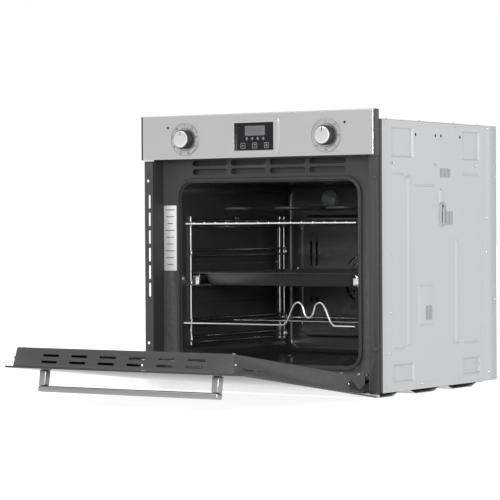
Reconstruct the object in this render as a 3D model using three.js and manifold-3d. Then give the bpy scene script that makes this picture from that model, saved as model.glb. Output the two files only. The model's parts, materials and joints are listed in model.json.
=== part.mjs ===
// A built-in electric wall oven with its drop-down door open, as an assembly of separate parts.
// Millimetres, +Z up, the front faces -Y. The origin is on the underside of the middle pressed foot.
// Inside this file "depth" runs back from the control panel's face and "height" up from the floor.

import * as THREE from 'three';
import { mergeVertices } from 'three/addons/utils/BufferGeometryUtils.js';
import Module from 'manifold-3d';

const wasm = await Module();
wasm.setup();

// ---- driving dimensions -------------------------------------------------------------------

const frontWidth = 595;
const frontHeight = 595;
const frontLift = 3; // the front's lower edge above the floor
const panelHeight = 95;
const panelDepth = 17.5;
const doorGap = 3; // between control panel and closed door
const flangeWidth = 19.5; // how far the front stands out past each side of the body
const bodyDepth = 565; // control panel face to the back of the rear cover
const bodyDrop = 18; // top of the panel to the top of the body
const rearDepth = 65; // depth of the rear cover
const footHeight = 7.7;
const footLengths = [50, 78, 86]; // flat underside of each pressed foot, front to back
const middleFootDepth = 237; // panel face to the centre of the middle foot
const sheet = 1.2; // steel sheet of the casing
const fit = 0.3; // gap between parts that sit against each other

const flangeFront = 12; // depth of the mounting flanges' face
const faceDepth = 52; // depth of the enamelled front frame
const faceReturn = 9; // how far the front frame's edges fold back

const cavityWidth = 454;
const cavityHeight = 389;
const cavityFloor = 63.5;
const cavityLength = 433; // front frame to the back wall
const cavityCorner = 30;

const doorAngle = 81.63; // opening of the stored pose, in degrees from closed
const hingeSetback = 7.5; // hinge pin behind the door glass's outer face
const hingeLift = 8.5; // hinge pin above the door's lower edge
const hingeInset = 33; // side of the body to each hinge
const glassInset = 6; // door glass in from each side of the front
const glassThickness = 4;
const shellInset = 8; // door shell in from each side of the body
const doorShellDepth = 42; // outer glass face to the inner side of the door
const doorShellStart = 73; // the shell starts this far above the door's lower edge

const knobSpread = 180; // centre of the panel to each knob
const knobDrop = 52; // top of the panel to the knob's centre
const knobRadius = 21;
const knobLength = 15;
const dialRadius = 36;

const levelRises = [39, 77.5, 163.5, 229.5, 294.5]; // cavity floor to each level's lower rail
const railPitch = 13; // lower rail to upper rail of a level
const railRadius = 2.5;
const shelfWire = 3; // wire radius of the shelf frames
const shelfFront = 57; // depth of the wire shelf's front bar
const shelfPitch = 27.9; // from one thin wire to the next
const fanRise = 172.5; // cavity floor to the fan's shaft

// ---- derived places -----------------------------------------------------------------------

const frontTop = frontLift + frontHeight;
const panelBottom = frontTop - panelHeight;
const doorTop = panelBottom - doorGap;
const bodyHalf = frontWidth / 2 - flangeWidth;
const bodyTop = frontTop - bodyDrop;
const casingStart = faceDepth + faceReturn + fit;
const rearStart = bodyDepth - rearDepth;
const cavityHalf = cavityWidth / 2;
const cavityTop = cavityFloor + cavityHeight;
const cavityMiddle = (cavityFloor + cavityTop) / 2;
const cavityBack = faceDepth + cavityLength;
const lastFootEnd = rearStart - 54;
const feet = [ // front and back edge of each pressed foot
  [faceDepth, faceDepth + footLengths[0]],
  [middleFootDepth - footLengths[1] / 2, middleFootDepth + footLengths[1] / 2],
  [lastFootEnd - footLengths[2], lastFootEnd],
];
const levels = levelRises.map((rise) => cavityFloor + rise);
const fanHeight = cavityFloor + fanRise;
const hingeHeight = frontLift + hingeLift;
const knobHeight = frontTop - knobDrop;
const railX = cavityHalf - 7;
const shelfX = cavityHalf - 7.2 - shelfWire;
const shelfBack = cavityBack - 49;
const hingeSpread = bodyHalf - hingeInset;
const glassWidth = frontWidth - 2 * glassInset;
const shellHalf = bodyHalf - shellInset;
const baffleFace = cavityBack - 25;

// ---- shape helpers ------------------------------------------------------------------------

function solid(geometry) {
  const bare = geometry.clone();
  bare.deleteAttribute('normal');
  bare.deleteAttribute('uv');
  const merged = mergeVertices(bare, 1e-4);
  return new wasm.Manifold(new wasm.Mesh({
    numProp: 3,
    vertProperties: new Float32Array(merged.attributes.position.array),
    triVerts: new Uint32Array(merged.index.array),
  }));
}

function surface(body) {
  const mesh = body.getMesh();
  const geometry = new THREE.BufferGeometry();
  const points = new Float32Array(mesh.vertProperties);
  geometry.setAttribute('position', new THREE.BufferAttribute(points, 3));
  geometry.setIndex(new THREE.BufferAttribute(new Uint32Array(mesh.triVerts), 1));
  geometry.computeVertexNormals();
  return geometry;
}

function join(...geometries) {
  return surface(geometries.map(solid).reduce((a, b) => a.add(b)));
}

function cut(geometry, ...tools) {
  return surface(tools.map(solid).reduce((a, b) => a.subtract(b), solid(geometry)));
}

// A block between two corners: x, depth and height ranges.
function block([x0, x1], [y0, y1], [z0, z1]) {
  const geometry = new THREE.BoxGeometry(x1 - x0, y1 - y0, z1 - z0);
  return geometry.translate((x0 + x1) / 2, (y0 + y1) / 2, (z0 + z1) / 2);
}

// A round bar from one point to another.
function rod(from, to, radius, sides = 6) {
  const a = new THREE.Vector3(...from);
  const b = new THREE.Vector3(...to);
  const along = b.clone().sub(a);
  const geometry = new THREE.CylinderGeometry(radius, radius, along.length(), sides);
  const turn = new THREE.Quaternion().setFromUnitVectors(new THREE.Vector3(0, 1, 0), along.normalize());
  return geometry.applyQuaternion(turn).translate(...a.add(b).multiplyScalar(0.5).toArray());
}

// A rectangle with round corners, centred on x and height.
function roundedRect(width, height, radius, [x, z] = [0, 0], segments = 3) {
  const shape = new THREE.Shape();
  const corners = [[1, -1, -90], [1, 1, 0], [-1, 1, 90], [-1, -1, 180]];
  for (const [sx, sz, start] of corners) {
    const cx = x + sx * (width / 2 - radius);
    const cz = z + sz * (height / 2 - radius);
    const angle = THREE.MathUtils.degToRad(start);
    for (let i = 0; i <= segments; i += 1) {
      const a = angle + (Math.PI / 2) * (i / segments);
      const point = [cx + radius * Math.cos(a), cz + radius * Math.sin(a)];
      if (shape.curves.length === 0 && i === 0 && sx === 1 && sz === -1) {
        shape.moveTo(...point);
      } else {
        shape.lineTo(...point);
      }
    }
  }
  shape.closePath();
  return shape;
}

// An outline in x and height, made thick between two depths.
function slab(shape, [y0, y1]) {
  const options = { depth: y1 - y0, bevelEnabled: false, curveSegments: 4 };
  const geometry = new THREE.ExtrudeGeometry(shape, options);
  return geometry.rotateX(Math.PI / 2).translate(0, y1, 0);
}

// An outline in x and depth, made thick between two heights.
function layer(shape, [z0, z1]) {
  const options = { depth: z1 - z0, bevelEnabled: false, curveSegments: 4 };
  const geometry = new THREE.ExtrudeGeometry(shape, options);
  return geometry.translate(0, 0, z0);
}

// A closed outline of depth and height points, made thick between two x values.
function profile(points, [x0, x1]) {
  const shape = new THREE.Shape(points.map(([y, z]) => new THREE.Vector2(y, z)));
  const geometry = new THREE.ExtrudeGeometry(shape, { depth: x1 - x0, bevelEnabled: false });
  const axes = new THREE.Matrix4().makeBasis(
    new THREE.Vector3(0, 1, 0),
    new THREE.Vector3(0, 0, 1),
    new THREE.Vector3(1, 0, 0),
  );
  return geometry.applyMatrix4(axes).translate(x0, 0, 0);
}

// A turned part about a line that runs along the depth: radius and depth points, front first.
function turned(points, [x, z], sides = 24) {
  const outline = points.map(([radius, y]) => new THREE.Vector2(radius, y));
  return new THREE.LatheGeometry(outline, sides).translate(x, 0, z);
}

// Turn of a bent wire from one ring of its mesh to the next.
const bendStep = THREE.MathUtils.degToRad(22.5);

// A path through points whose corners are rounded, sampled only where it bends.
class WirePath extends THREE.Curve {
  constructor(corners, radius) {
    super();
    this.stops = [corners[0]];
    for (let i = 1; i < corners.length - 1; i += 1) {
      const before = corners[i].clone().sub(corners[i - 1]).normalize();
      const after = corners[i + 1].clone().sub(corners[i]).normalize();
      const bend = before.angleTo(after);
      const run = radius * Math.tan(bend / 2);
      const start = corners[i].clone().addScaledVector(before, -run);
      const side = after.clone().addScaledVector(before, -after.dot(before)).normalize();
      const steps = Math.max(1, Math.round(bend / bendStep));
      for (let k = 0; k <= steps && bend > 0.01; k += 1) {
        const turn = bend * (k / steps);
        const point = start.clone().addScaledVector(before, radius * Math.sin(turn));
        this.stops.push(point.addScaledVector(side, radius * (1 - Math.cos(turn))));
      }
    }
    this.stops.push(corners[corners.length - 1]);
  }

  getPoint(t) {
    return this.stops[Math.round(t * (this.stops.length - 1))].clone();
  }

  getPointAt(t) {
    return this.getPoint(t);
  }

  getTangentAt(t) {
    const last = this.stops.length - 1;
    const i = Math.round(t * last);
    const from = this.stops[Math.max(i - 1, 0)];
    const to = this.stops[Math.min(i + 1, last)];
    const here = this.stops[i];
    const into = here.clone().sub(from).normalize();
    const out = to.clone().sub(here).normalize();
    return into.add(out).normalize();
  }
}

function bentRod(points, radius, bendRadius, sides = 6) {
  const path = new WirePath(points.map((p) => new THREE.Vector3(...p)), bendRadius);
  const ring = new THREE.Shape();
  for (let i = 0; i < sides; i += 1) {
    const a = (2 * Math.PI * i) / sides;
    const point = [radius * Math.cos(a), radius * Math.sin(a)];
    if (i === 0) {
      ring.moveTo(...point);
    } else {
      ring.lineTo(...point);
    }
  }
  ring.closePath();
  return new THREE.ExtrudeGeometry(ring, { steps: path.stops.length - 1, extrudePath: path });
}

const shelfAt = (level) => level + railRadius + fit + shelfWire;

// ---- finishes -----------------------------------------------------------------------------

function finish(color, roughness, metalness) {
  return () => new THREE.MeshStandardMaterial({ color, roughness, metalness });
}

const stainless = finish(0xb9babb, 0.35, 0.9);
const chrome = finish(0xd8dadc, 0.15, 1);
const galvanised = finish(0xc9cacb, 0.45, 0.85);
const blackEnamel = finish(0x1b1b1c, 0.2, 0.1);
const darkPaint = finish(0x4a4a4b, 0.6, 0.2);
const blackPlastic = finish(0x202021, 0.5, 0);
const clearGlass = finish(0x8f9496, 0.05, 0);
const darkGlass = finish(0x141416, 0.08, 0);
const seal = finish(0x2b2b2b, 0.9, 0);
const wool = finish(0xd7d2c4, 1, 0);
const heaterTube = finish(0x3a3835, 0.5, 0.6);
const paleLabel = finish(0xc4c4c2, 0.6, 0.1);

const oven = new THREE.Group();
const inside = new THREE.Group();
inside.position.y = -middleFootDepth;
oven.add(inside);

function place(name, geometry, material, parent = inside) {
  const mesh = new THREE.Mesh(geometry, material());
  mesh.name = name;
  parent.add(mesh);
  return mesh;
}

const sides = [['left', -1], ['right', 1]];

// A range of x values on one side of the oven, given from the middle outwards.
function outward(side, inner, outer) {
  return side < 0 ? [-outer, -inner] : [inner, outer];
}

// ---- control panel ------------------------------------------------------------------------

const capThickness = 3;
const fascia = 1.5;
const bezelWidth = 125;
const bezelHeight = 76;
const windowWidth = bezelWidth - 25;
const windowHeight = bezelHeight - 17;
const windowHeightAt = frontTop - 50;
const screenHalf = 25.5;
const bezelWall = 3.5;
const bezelFront = -1.8;
const bezelBack = 9;
const shaftRadius = 3.9;
const shaftHole = 5;
const shaftEnd = 24;
const lampSpread = 225;
const lampHeight = frontTop - 26;
const lampRadius = 2.5;

function controlPanel() {
  const t = fascia;
  const [low, high] = [panelBottom, frontTop];
  const outline = [
    [0, low], [panelDepth, low], [panelDepth, low + t], [t, low + t],
    [t, high - t], [panelDepth, high - t], [panelDepth, high], [0, high],
  ];
  const half = frontWidth / 2 - capThickness - fit;
  const through = [-1, t + 1];
  const cutout = [windowWidth + 2 * bezelWall + 2 * fit, windowHeight + 2 * bezelWall + 2 * fit];
  const tools = [slab(roundedRect(...cutout, 2, [0, windowHeightAt]), through)];
  for (const [, side] of sides) {
    const x = side * knobSpread;
    tools.push(rod([x, through[0], knobHeight], [x, through[1], knobHeight], shaftHole, 16));
    const lamp = side * lampSpread;
    tools.push(rod([lamp, through[0], lampHeight], [lamp, through[1], lampHeight], lampRadius + fit, 12));
  }
  place('control_panel', cut(profile(outline, [-half, half]), ...tools), stainless);
  for (const [name, side] of sides) {
    const range = outward(side, frontWidth / 2 - capThickness, frontWidth / 2);
    const cap = block(range, [0.5, panelDepth], [low, high]);
    place(`panel_end_cap_${name}`, cap, blackPlastic);
  }
}

function timer() {
  const sleeveWidth = windowWidth + 2 * bezelWall;
  const sleeveHeight = windowHeight + 2 * bezelWall;
  const centre = [0, windowHeightAt];
  const bezel = cut(
    join(
      slab(roundedRect(bezelWidth, bezelHeight, 3, centre), [bezelFront, -fit]),
      slab(roundedRect(sleeveWidth, sleeveHeight, 2, centre), [-fit - 0.2, bezelBack]),
    ),
    slab(roundedRect(windowWidth, windowHeight, 1, centre), [bezelFront - 1, bezelBack + 1]),
  );
  place('timer_bezel', bezel, stainless);
  const pane = roundedRect(windowWidth - 2 * fit, windowHeight - 2 * fit, 1, centre);
  place('timer_window', slab(pane, [4, 6]), darkGlass);
  const screen = block([-screenHalf, screenHalf], [3.2, 3.7], [windowHeightAt + 2, windowHeightAt + 23]);
  place('timer_display', screen, finish(0x6b6c6e, 0.4, 0));
  const plug = windowWidth / 2 - 2;
  const plugHigh = windowHeight / 2 - 2.5;
  const housing = join(
    block([-plug, plug], [6.4, bezelBack + 0.6], [windowHeightAt - plugHigh, windowHeightAt + plugHigh]),
    block(
      [-plug - 8, plug + 8],
      [bezelBack + fit, 42],
      [windowHeightAt - plugHigh - 7, windowHeightAt + plugHigh + 2],
    ),
  );
  place('timer_module', housing, blackPlastic);
}

function knobs() {
  for (const [name, side] of sides) {
    const centre = [side * knobSpread, knobHeight];
    const ring = [
      [knobRadius + 2, -fit], [knobRadius + 2, -1.2], [knobRadius + 3, -1.6], [dialRadius - 1, -1.6],
      [dialRadius, -1.2], [dialRadius, -fit], [knobRadius + 2, -fit],
    ];
    place(`dial_ring_${name}`, turned(ring, centre, 24), stainless);
    const front = -knobLength - 3;
    const knob = [
      [0, front], [knobRadius - 3, front], [knobRadius - 1.5, front + 1], [knobRadius - 1, front + 3],
      [knobRadius, -4], [knobRadius, -1.2], [shaftRadius, -1.2], [shaftRadius, shaftEnd], [0, shaftEnd],
    ];
    const pointerTop = centre[1] + knobRadius - 3.5;
    const groove = [centre[0] - 0.8, centre[0] + 0.8];
    const pointer = block(groove, [front - 1, front + 0.8], [pointerTop - 8, pointerTop]);
    place(`knob_${name}`, cut(turned(knob, centre, 24), pointer), stainless);
    const lens = [[0, -1.5], [1.6, -1.2], [lampRadius, -0.3], [lampRadius, 6], [0, 6]];
    place(`indicator_${name}`, turned(lens, [side * lampSpread, lampHeight], 12), darkGlass);
  }
  const [x, z] = [knobSpread, knobHeight];
  const backOfShaft = shaftEnd + fit;
  const switchBody = block([-x - 22, -x + 22], [backOfShaft, 47], [z - 24, z + 24]);
  place('function_switch', switchBody, blackPlastic);
  const thermostat = join(
    block([x - 18, x + 18], [backOfShaft, 34], [z - 18, z + 18]),
    rod([x, 33, z], [x, 46, z], 14, 20),
  );
  place('thermostat', thermostat, galvanised);
}

// ---- front of the body --------------------------------------------------------------------

const ventWidth = 91;
const ventHeight = 12.3;
const ventPitch = 100.5;
const ventRows = [panelBottom - 26.5, panelBottom - 7.7];
const armThickness = 4;
const flangeBottom = 10;
const slotRows = 6;
const slotPitch = 38.6;
const slotStart = cavityMiddle - 38.5; // height of the lowest flange slot
const screwInset = 9; // side of the front to the flange's screw holes
const screwHeights = [flangeBottom + 93, panelBottom - 45];
const sealInner = 2;
const sealOuter = 10;
const sealFront = doorShellDepth + 0.5;

function frontFrame() {
  const outer = bodyHalf;
  const [low, high] = [footHeight + 2.5, bodyTop - sheet - fit];
  const sheetDepth = [faceDepth, faceDepth + sheet];
  const through = [faceDepth - 1, faceDepth + sheet + 1];
  const face = join(
    block([-outer, outer], sheetDepth, [low, high]),
    block([-outer, -outer + sheet], [faceDepth, faceDepth + faceReturn], [low, high]),
    block([outer - sheet, outer], [faceDepth, faceDepth + faceReturn], [low, high]),
  );
  const mouth = roundedRect(cavityWidth, cavityHeight, cavityCorner, [0, cavityMiddle], 5);
  const tools = [slab(mouth, through)];
  for (const z of ventRows) {
    for (let i = 0; i < 4; i += 1) {
      const x = (i - 1.5) * ventPitch;
      const vent = roundedRect(ventWidth, ventHeight, ventHeight / 2 - 0.1, [x, z], 3);
      tools.push(slab(vent, through));
    }
  }
  for (const [, side] of sides) {
    const x = side * hingeSpread;
    tools.push(block([x - 5, x + 5], through, [low + 2, 50]));
  }
  place('front_frame', cut(face, ...tools), darkPaint);
}

function mountingFlanges() {
  const wall = bodyHalf - 1;
  const edge = frontWidth / 2;
  const behindPanel = panelDepth + 1;
  for (const [name, side] of sides) {
    const wallX = outward(side, wall - sheet, wall);
    const parts = [
      block(wallX, [behindPanel, faceDepth - fit], [flangeBottom, bodyTop - sheet - 1]),
      block(wallX, [flangeFront, behindPanel + 1], [flangeBottom, panelBottom - 2]),
      block(
        outward(side, wall - sheet, edge),
        [flangeFront, flangeFront + sheet],
        [flangeBottom, panelBottom - 2],
      ),
    ];
    const tools = [];
    const through = [flangeFront - 1, flangeFront + sheet + 1];
    if (side < 0) {
      for (let i = 0; i < slotRows; i += 1) {
        const z = slotStart + slotPitch * i;
        tools.push(slab(roundedRect(5, 30.5, 2.4, [4 - edge + screwInset, z], 2), through));
      }
    }
    for (const z of screwHeights) {
      const x = side * (edge - screwInset);
      tools.push(rod([x, through[0], z], [x, through[1], z], 3.2, 12));
    }
    place(`mounting_flange_${name}`, cut(join(...parts), ...tools), darkPaint);
  }
}

function doorSeal() {
  const around = (margin) => {
    const size = [cavityWidth + 2 * margin, cavityHeight + 2 * margin];
    return roundedRect(...size, cavityCorner + margin, [0, cavityMiddle], 5);
  };
  const outline = around(sealOuter);
  const inner = around(sealInner);
  outline.holes.push(inner);
  place('door_seal', slab(outline, [sealFront, faceDepth - fit]), seal);
}

function ratingPlate() {
  const shape = roundedRect(34, 143, 2, [21 - bodyHalf, cavityMiddle + 74.5], 3);
  place('rating_plate', slab(shape, [faceDepth - 1, faceDepth - fit]), paleLabel);
}

// ---- cavity and what hangs in it ----------------------------------------------------------

const ovenLamp = [115 - cavityHalf, cavityTop - 34.5];
const lampLensRadius = 22;
const fanShaft = 4;
const heaterPinHole = 5.5;
const ringHeaterRadius = 88;
const ringHeaterDepth = cavityBack - 12;
const grillHalf = cavityHalf - 62;
const grillLegs = [-1, -0.6, -0.2, 0.2, 0.6, 1].map((share) => share * grillHalf);
const grillHeight = cavityTop - 55.5;
const heaterFront = faceDepth + 58;
const heaterPinBack = cavityBack + 12;
const tube = 3.5;
const baffleWidth = cavityWidth - 74;
const baffleTop = cavityTop - 68.5;
const baffleBottom = cavityFloor + 34.5;
const woolSide = 20.8;
const woolTop = 12;
const woolBottom = 18;
const heaterRoom = 15.5; // cavity floor to the wool, where the base heater lies
const roofRoom = 4.5; // cavity roof to the wool

function cavity() {
  const start = faceDepth + sheet + fit;
  const around = (margin) => {
    const size = [cavityWidth + 2 * margin, cavityHeight + 2 * margin];
    return roundedRect(...size, cavityCorner + margin, [0, cavityMiddle], 5);
  };
  const outer = slab(around(sheet), [start, cavityBack + sheet]);
  const room = slab(around(0), [start - 1, cavityBack]);
  const hole = [cavityBack - 1, cavityBack + sheet + 1];
  const through = (x, z, radius) => rod([x, hole[0], z], [x, hole[1], z], radius, 12);
  const tools = [
    room,
    through(0, fanHeight, fanShaft + 2),
    through(...ovenLamp, 16),
    through(-14, fanHeight - ringHeaterRadius, heaterPinHole),
    through(14, fanHeight - ringHeaterRadius, heaterPinHole),
    through(grillLegs[0], grillHeight, heaterPinHole),
    through(grillLegs[5], grillHeight, heaterPinHole),
  ];
  place('cavity_liner', cut(outer, ...tools), blackEnamel);
}

function insulation() {
  const [low, high] = [cavityFloor - heaterRoom, cavityTop + roofRoom];
  const width = cavityWidth + 2 * sheet + 2;
  const space = roundedRect(width, high - low, 32, [0, (low + high) / 2]);
  const [outerLow, outerHigh] = [low - woolBottom, high + woolTop];
  const blanket = roundedRect(
    width + 2 * woolSide, outerHigh - outerLow, 42, [0, (outerLow + outerHigh) / 2],
  );
  blanket.holes.push(space);
  place('insulation', slab(blanket, [casingStart + 2, cavityBack - 6]), wool);
}

function baffle() {
  const height = baffleTop - baffleBottom;
  const middle = (baffleTop + baffleBottom) / 2;
  const hollow = roundedRect(baffleWidth - 2 * sheet, height - 2 * sheet, 24, [0, middle]);
  const shell = cut(
    slab(roundedRect(baffleWidth, height, 25, [0, middle]), [baffleFace, cavityBack - fit]),
    slab(hollow, [baffleFace + sheet, cavityBack + 1]),
  );
  const through = [baffleFace - 1, baffleFace + sheet + 1];
  const tools = [];
  for (const radius of [30, 44, 58]) {
    for (let i = 0; i < 4; i += 1) {
      const arc = new THREE.Shape();
      const from = THREE.MathUtils.degToRad(90 * i + 12);
      const to = THREE.MathUtils.degToRad(90 * i + 78);
      arc.absarc(0, fanHeight, radius + 3, from, to, false);
      arc.absarc(0, fanHeight, radius - 3, to, from, true);
      arc.closePath();
      tools.push(slab(arc, through));
    }
  }
  const [innerLouvre, outerLouvre] = [baffleWidth / 2 - 55, baffleWidth / 2 - 40];
  for (const x of [-outerLouvre, -innerLouvre, innerLouvre, outerLouvre]) {
    tools.push(slab(roundedRect(6, 57, 2.9, [x, fanHeight + 59], 2), through));
    tools.push(slab(roundedRect(6, 14, 2.9, [x, fanHeight - 49], 2), through));
  }
  place('fan_baffle', cut(shell, ...tools), blackEnamel);
}

function convectionFan() {
  const [front, back] = [baffleFace + sheet + 4, cavityBack - 3];
  const parts = [
    rod([0, back - 1.2, fanHeight], [0, back, fanHeight], 66, 24),
    rod([0, front, fanHeight], [0, cavityBack + 9, fanHeight], fanShaft, 12),
    rod([0, front + 2, fanHeight], [0, back - 0.5, fanHeight], 14, 16),
  ];
  const blades = 8;
  for (let i = 0; i < blades; i += 1) {
    const blade = block([18, 65], [front + 2, back - 0.6], [-0.8, 0.8]);
    parts.push(blade.rotateY((2 * Math.PI * i) / blades + 0.2).translate(0, 0, fanHeight));
  }
  place('convection_fan', join(...parts), galvanised);
  const start = cavityBack + 9 + fit;
  const motor = [[0, 0], [16, 0], [16, 6], [30, 8], [30, 44], [22, 50], [0, 50]];
  const motorAt = motor.map(([radius, y]) => [radius, start + y]);
  place('fan_motor', turned(motorAt, [0, fanHeight], 20), galvanised);
}

function ringHeater() {
  const ring = new THREE.TorusGeometry(ringHeaterRadius, tube, 6, 28);
  ring.rotateX(Math.PI / 2).translate(0, ringHeaterDepth, fanHeight);
  const pin = (x) => {
    const z = fanHeight - ringHeaterRadius;
    return rod([x, ringHeaterDepth, z], [x, heaterPinBack, z], tube - 0.3);
  };
  place('ring_heater', join(ring, pin(-14), pin(14)), heaterTube);
}

function grillHeater() {
  const [front, back, out] = [heaterFront, cavityBack - 57, heaterPinBack];
  const points = [];
  grillLegs.forEach((x, i) => {
    const start = i === 0 ? out : back;
    const end = i === grillLegs.length - 1 ? out : back;
    const leg = i % 2 === 0 ? [start, front] : [front, end];
    for (const y of leg) {
      points.push([x, y, grillHeight]);
    }
  });
  place('grill_heater', bentRod(points, tube, (grillLegs[1] - grillLegs[0]) / 2 - 0.1), heaterTube);
}

function baseHeater() {
  const z = cavityFloor - sheet - 2 - tube;
  const [near, far, wide, pin] = [heaterFront, cavityBack - 45, cavityHalf - 77, 20];
  const half = [[wide, near, z], [wide, far, z], [pin, far, z], [pin, heaterPinBack, z]];
  const points = [...half.map(([x, y, height]) => [-x, y, height]).reverse(), ...half];
  place('base_heater', bentRod(points, tube, 30), heaterTube);
}

function cavityLamp() {
  const [x, z] = ovenLamp;
  const r = lampLensRadius;
  const front = cavityBack - fit;
  const lens = [
    [0, front - 11], [r * 0.55, front - 9.5], [r * 0.86, front - 6],
    [r, front - 2], [r, front], [0, front],
  ];
  place('lamp_lens', turned(lens, [x, z]), clearGlass);
  const back = cavityBack + sheet + fit;
  const holder = [
    [0, back], [20, back], [20, back + 2], [14, back + 3],
    [14, back + 32], [9, back + 42], [0, back + 42],
  ];
  place('lamp_holder', turned(holder, [x, z], 16), blackPlastic);
}

const rackFront = faceDepth + 30;
const rackBack = cavityBack - 27;
const rackPost = rackBack - 18;

function sideRacks() {
  for (const [name, side] of sides) {
    const postX = side * (cavityHalf - 3.2);
    const [low, high] = [levels[0] - 6, levels[levels.length - 1] + railPitch + 8];
    const parts = [rackFront, rackPost, rackBack].map((y) => rod([postX, y, low], [postX, y, high], 2.6));
    for (const level of levels) {
      for (const z of [level, level + railPitch]) {
        parts.push(rod([side * railX, rackFront - 5, z], [side * railX, rackBack + 5, z], railRadius));
      }
    }
    place(`side_rack_${name}`, join(...parts), chrome);
  }
}

// The shelf's frame is a bent wire across the front and down both sides, closed by a rear bar.
function wireShelf() {
  const z = shelfAt(levels[4]);
  const x = shelfX;
  const corners = [[-x, shelfBack, z], [-x, shelfFront, z], [x, shelfFront, z], [x, shelfBack, z]];
  const frame = bentRod(corners, shelfWire, 8);
  const parts = [frame, rod([-x, shelfBack - 4, z], [x, shelfBack - 4, z], shelfWire - 0.3)];
  const middle = (shelfFront + shelfBack) / 2;
  parts.push(rod([-x, middle, z], [x, middle, z], shelfWire - 0.4));
  const thin = 1.75;
  const perSide = Math.floor((x - 3 * shelfWire) / shelfPitch);
  for (let i = -perSide; i <= perSide; i += 1) {
    const wireX = i * shelfPitch;
    const wireZ = z + shelfWire + thin - 0.9;
    parts.push(rod([wireX, shelfFront - 3, wireZ], [wireX, shelfBack + 2, wireZ], thin));
  }
  place('wire_shelf', join(...parts), chrome);
}

const cradleCentre = 105;
const cradleHalf = 62.5; // centre of the cradle to the foot of each hump
const cradleRise = 49; // height of the humps above the frame

// Half of the cradle's outline, as shares of its half-width and rise, from the dip outwards.
const cradleOutline = [
  [0, 0.34], [0.13, 0.43], [0.2, 0.64], [0.28, 0.9], [0.45, 1], [0.6, 0.87], [0.72, 0.58], [0.86, 0.23],
];

function spitCradle() {
  const z = shelfAt(levels[1]);
  const x = shelfX;
  const front = shelfFront - 9;
  const half = cradleOutline.map(([a, b]) => [a * cradleHalf, b * cradleRise]);
  const hump = (sign) => half.map(([dx, dz]) => new THREE.Vector3(cradleCentre + sign * dx, front, z + dz));
  const knots = [
    new THREE.Vector3(cradleCentre - cradleHalf, front, z + 0.4),
    ...hump(-1).reverse(),
    ...hump(1).slice(1),
    new THREE.Vector3(cradleCentre + cradleHalf, front, z + 0.4),
  ];
  const curve = new THREE.CatmullRomCurve3(knots, false, 'centripetal');
  const across = curve.getPoints(24).map((p) => p.toArray());
  const path = [[-x, shelfBack, z], [-x, front, z], ...across, [x, front, z], [x, shelfBack, z]];
  const frame = bentRod(path, shelfWire - 0.4, 4);
  const rear = rod([-x, shelfBack - 4, z], [x, shelfBack - 4, z], shelfWire - 0.7);
  place('spit_cradle', join(frame, rear), chrome);
}

const runnerHeight = 20;
const trayFront = shelfFront + 9;
const trayBack = shelfBack - 3;
const runnerFront = trayFront + 10;
const runnerBack = shelfBack + 2;
const runnerWidth = 17;
const channelWall = 1.2;
const channelOuter = railX - railRadius - fit;
const runnerLow = levels[2] + 2;
const trayRim = runnerLow + runnerHeight + 9;
const trayHalf = cavityHalf - 13;
const trayDepth = 30;

function runners() {
  for (const [name, side] of sides) {
    const [low, high] = [runnerLow, runnerLow + runnerHeight];
    const channelRange = [runnerFront + 4, runnerBack];
    const channel = cut(
      block(outward(side, channelOuter - 12, channelOuter), channelRange, [low, high]),
      block(
        outward(side, channelOuter - 13, channelOuter - channelWall),
        [channelRange[0] - 1, channelRange[1] + 1],
        [low + channelWall, high - channelWall],
      ),
    );
    place(`runner_rail_${name}`, channel, galvanised);
    const slideOuter = channelOuter - channelWall - 1;
    const slideX = outward(side, slideOuter - runnerWidth, slideOuter);
    const [slideLow, slideHigh] = [low + channelWall + 0.5, high - channelWall - 0.5];
    const bar = block(slideX, [runnerFront, runnerBack - 4], [slideLow, slideHigh]);
    const pinX = side < 0 ? slideX[1] - 4 : slideX[0] + 4;
    const pins = [runnerFront + 8, runnerBack - 14];
    const studs = pins.map((y) => rod([pinX, y, slideHigh - 1], [pinX, y, trayRim - sheet - fit], 3));
    place(`runner_slide_${name}`, join(bar, ...studs), chrome);
  }
}

function bakingTray() {
  const length = trayBack - trayFront;
  const middle = (trayFront + trayBack) / 2;
  const innerHalf = channelOuter - channelWall - 1 - runnerWidth - 3;
  const rim = layer(roundedRect(2 * trayHalf, length, 12, [0, middle], 4), [trayRim - sheet, trayRim]);
  const basin = roundedRect(2 * innerHalf, length - 44, 26, [0, middle], 5);
  const pocket = roundedRect(2 * innerHalf - 2 * sheet, length - 44 - 2 * sheet, 25, [0, middle], 5);
  const tray = cut(
    join(rim, layer(basin, [trayRim - trayDepth, trayRim - sheet / 2])),
    layer(pocket, [trayRim - trayDepth + sheet, trayRim + 1]),
  );
  place('baking_tray', tray, blackEnamel);
}

// ---- casing -------------------------------------------------------------------------------

function casing() {
  const half = bodyHalf;
  const base = footHeight + sheet;
  const sideTop = bodyTop - sheet - fit;
  for (const [name, side] of sides) {
    const panel = block(outward(side, half - sheet, half), [casingStart, rearStart], [base + fit, sideTop]);
    place(`side_panel_${name}`, panel, galvanised);
  }
  const cover = block([-half, half], [panelDepth + 1, rearStart], [bodyTop - sheet, bodyTop]);
  place('top_cover', cover, galvanised);
  basePan(base);
  rearCover(base);
}

function basePan(top) {
  const start = faceDepth - 6;
  const slope = 22;
  const under = [[start, footHeight]];
  for (const [from, to] of feet) {
    const rise = Math.max(from - slope, start + 0.5);
    under.push([rise, footHeight], [from, 0], [to, 0], [to + slope, footHeight]);
  }
  under.push([rearStart, footHeight]);
  const over = under.map(([y, z]) => [y, z + top - footHeight]).reverse();
  place('base_pan', profile([...under, ...over], [-bodyHalf + 0.4, bodyHalf - 0.4]), galvanised);
}

const inletX = [150, 226];
const inletFlange = 6;
const boxDepth = 34;
const inletZ = [bodyTop - 110, bodyTop - 56];

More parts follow.
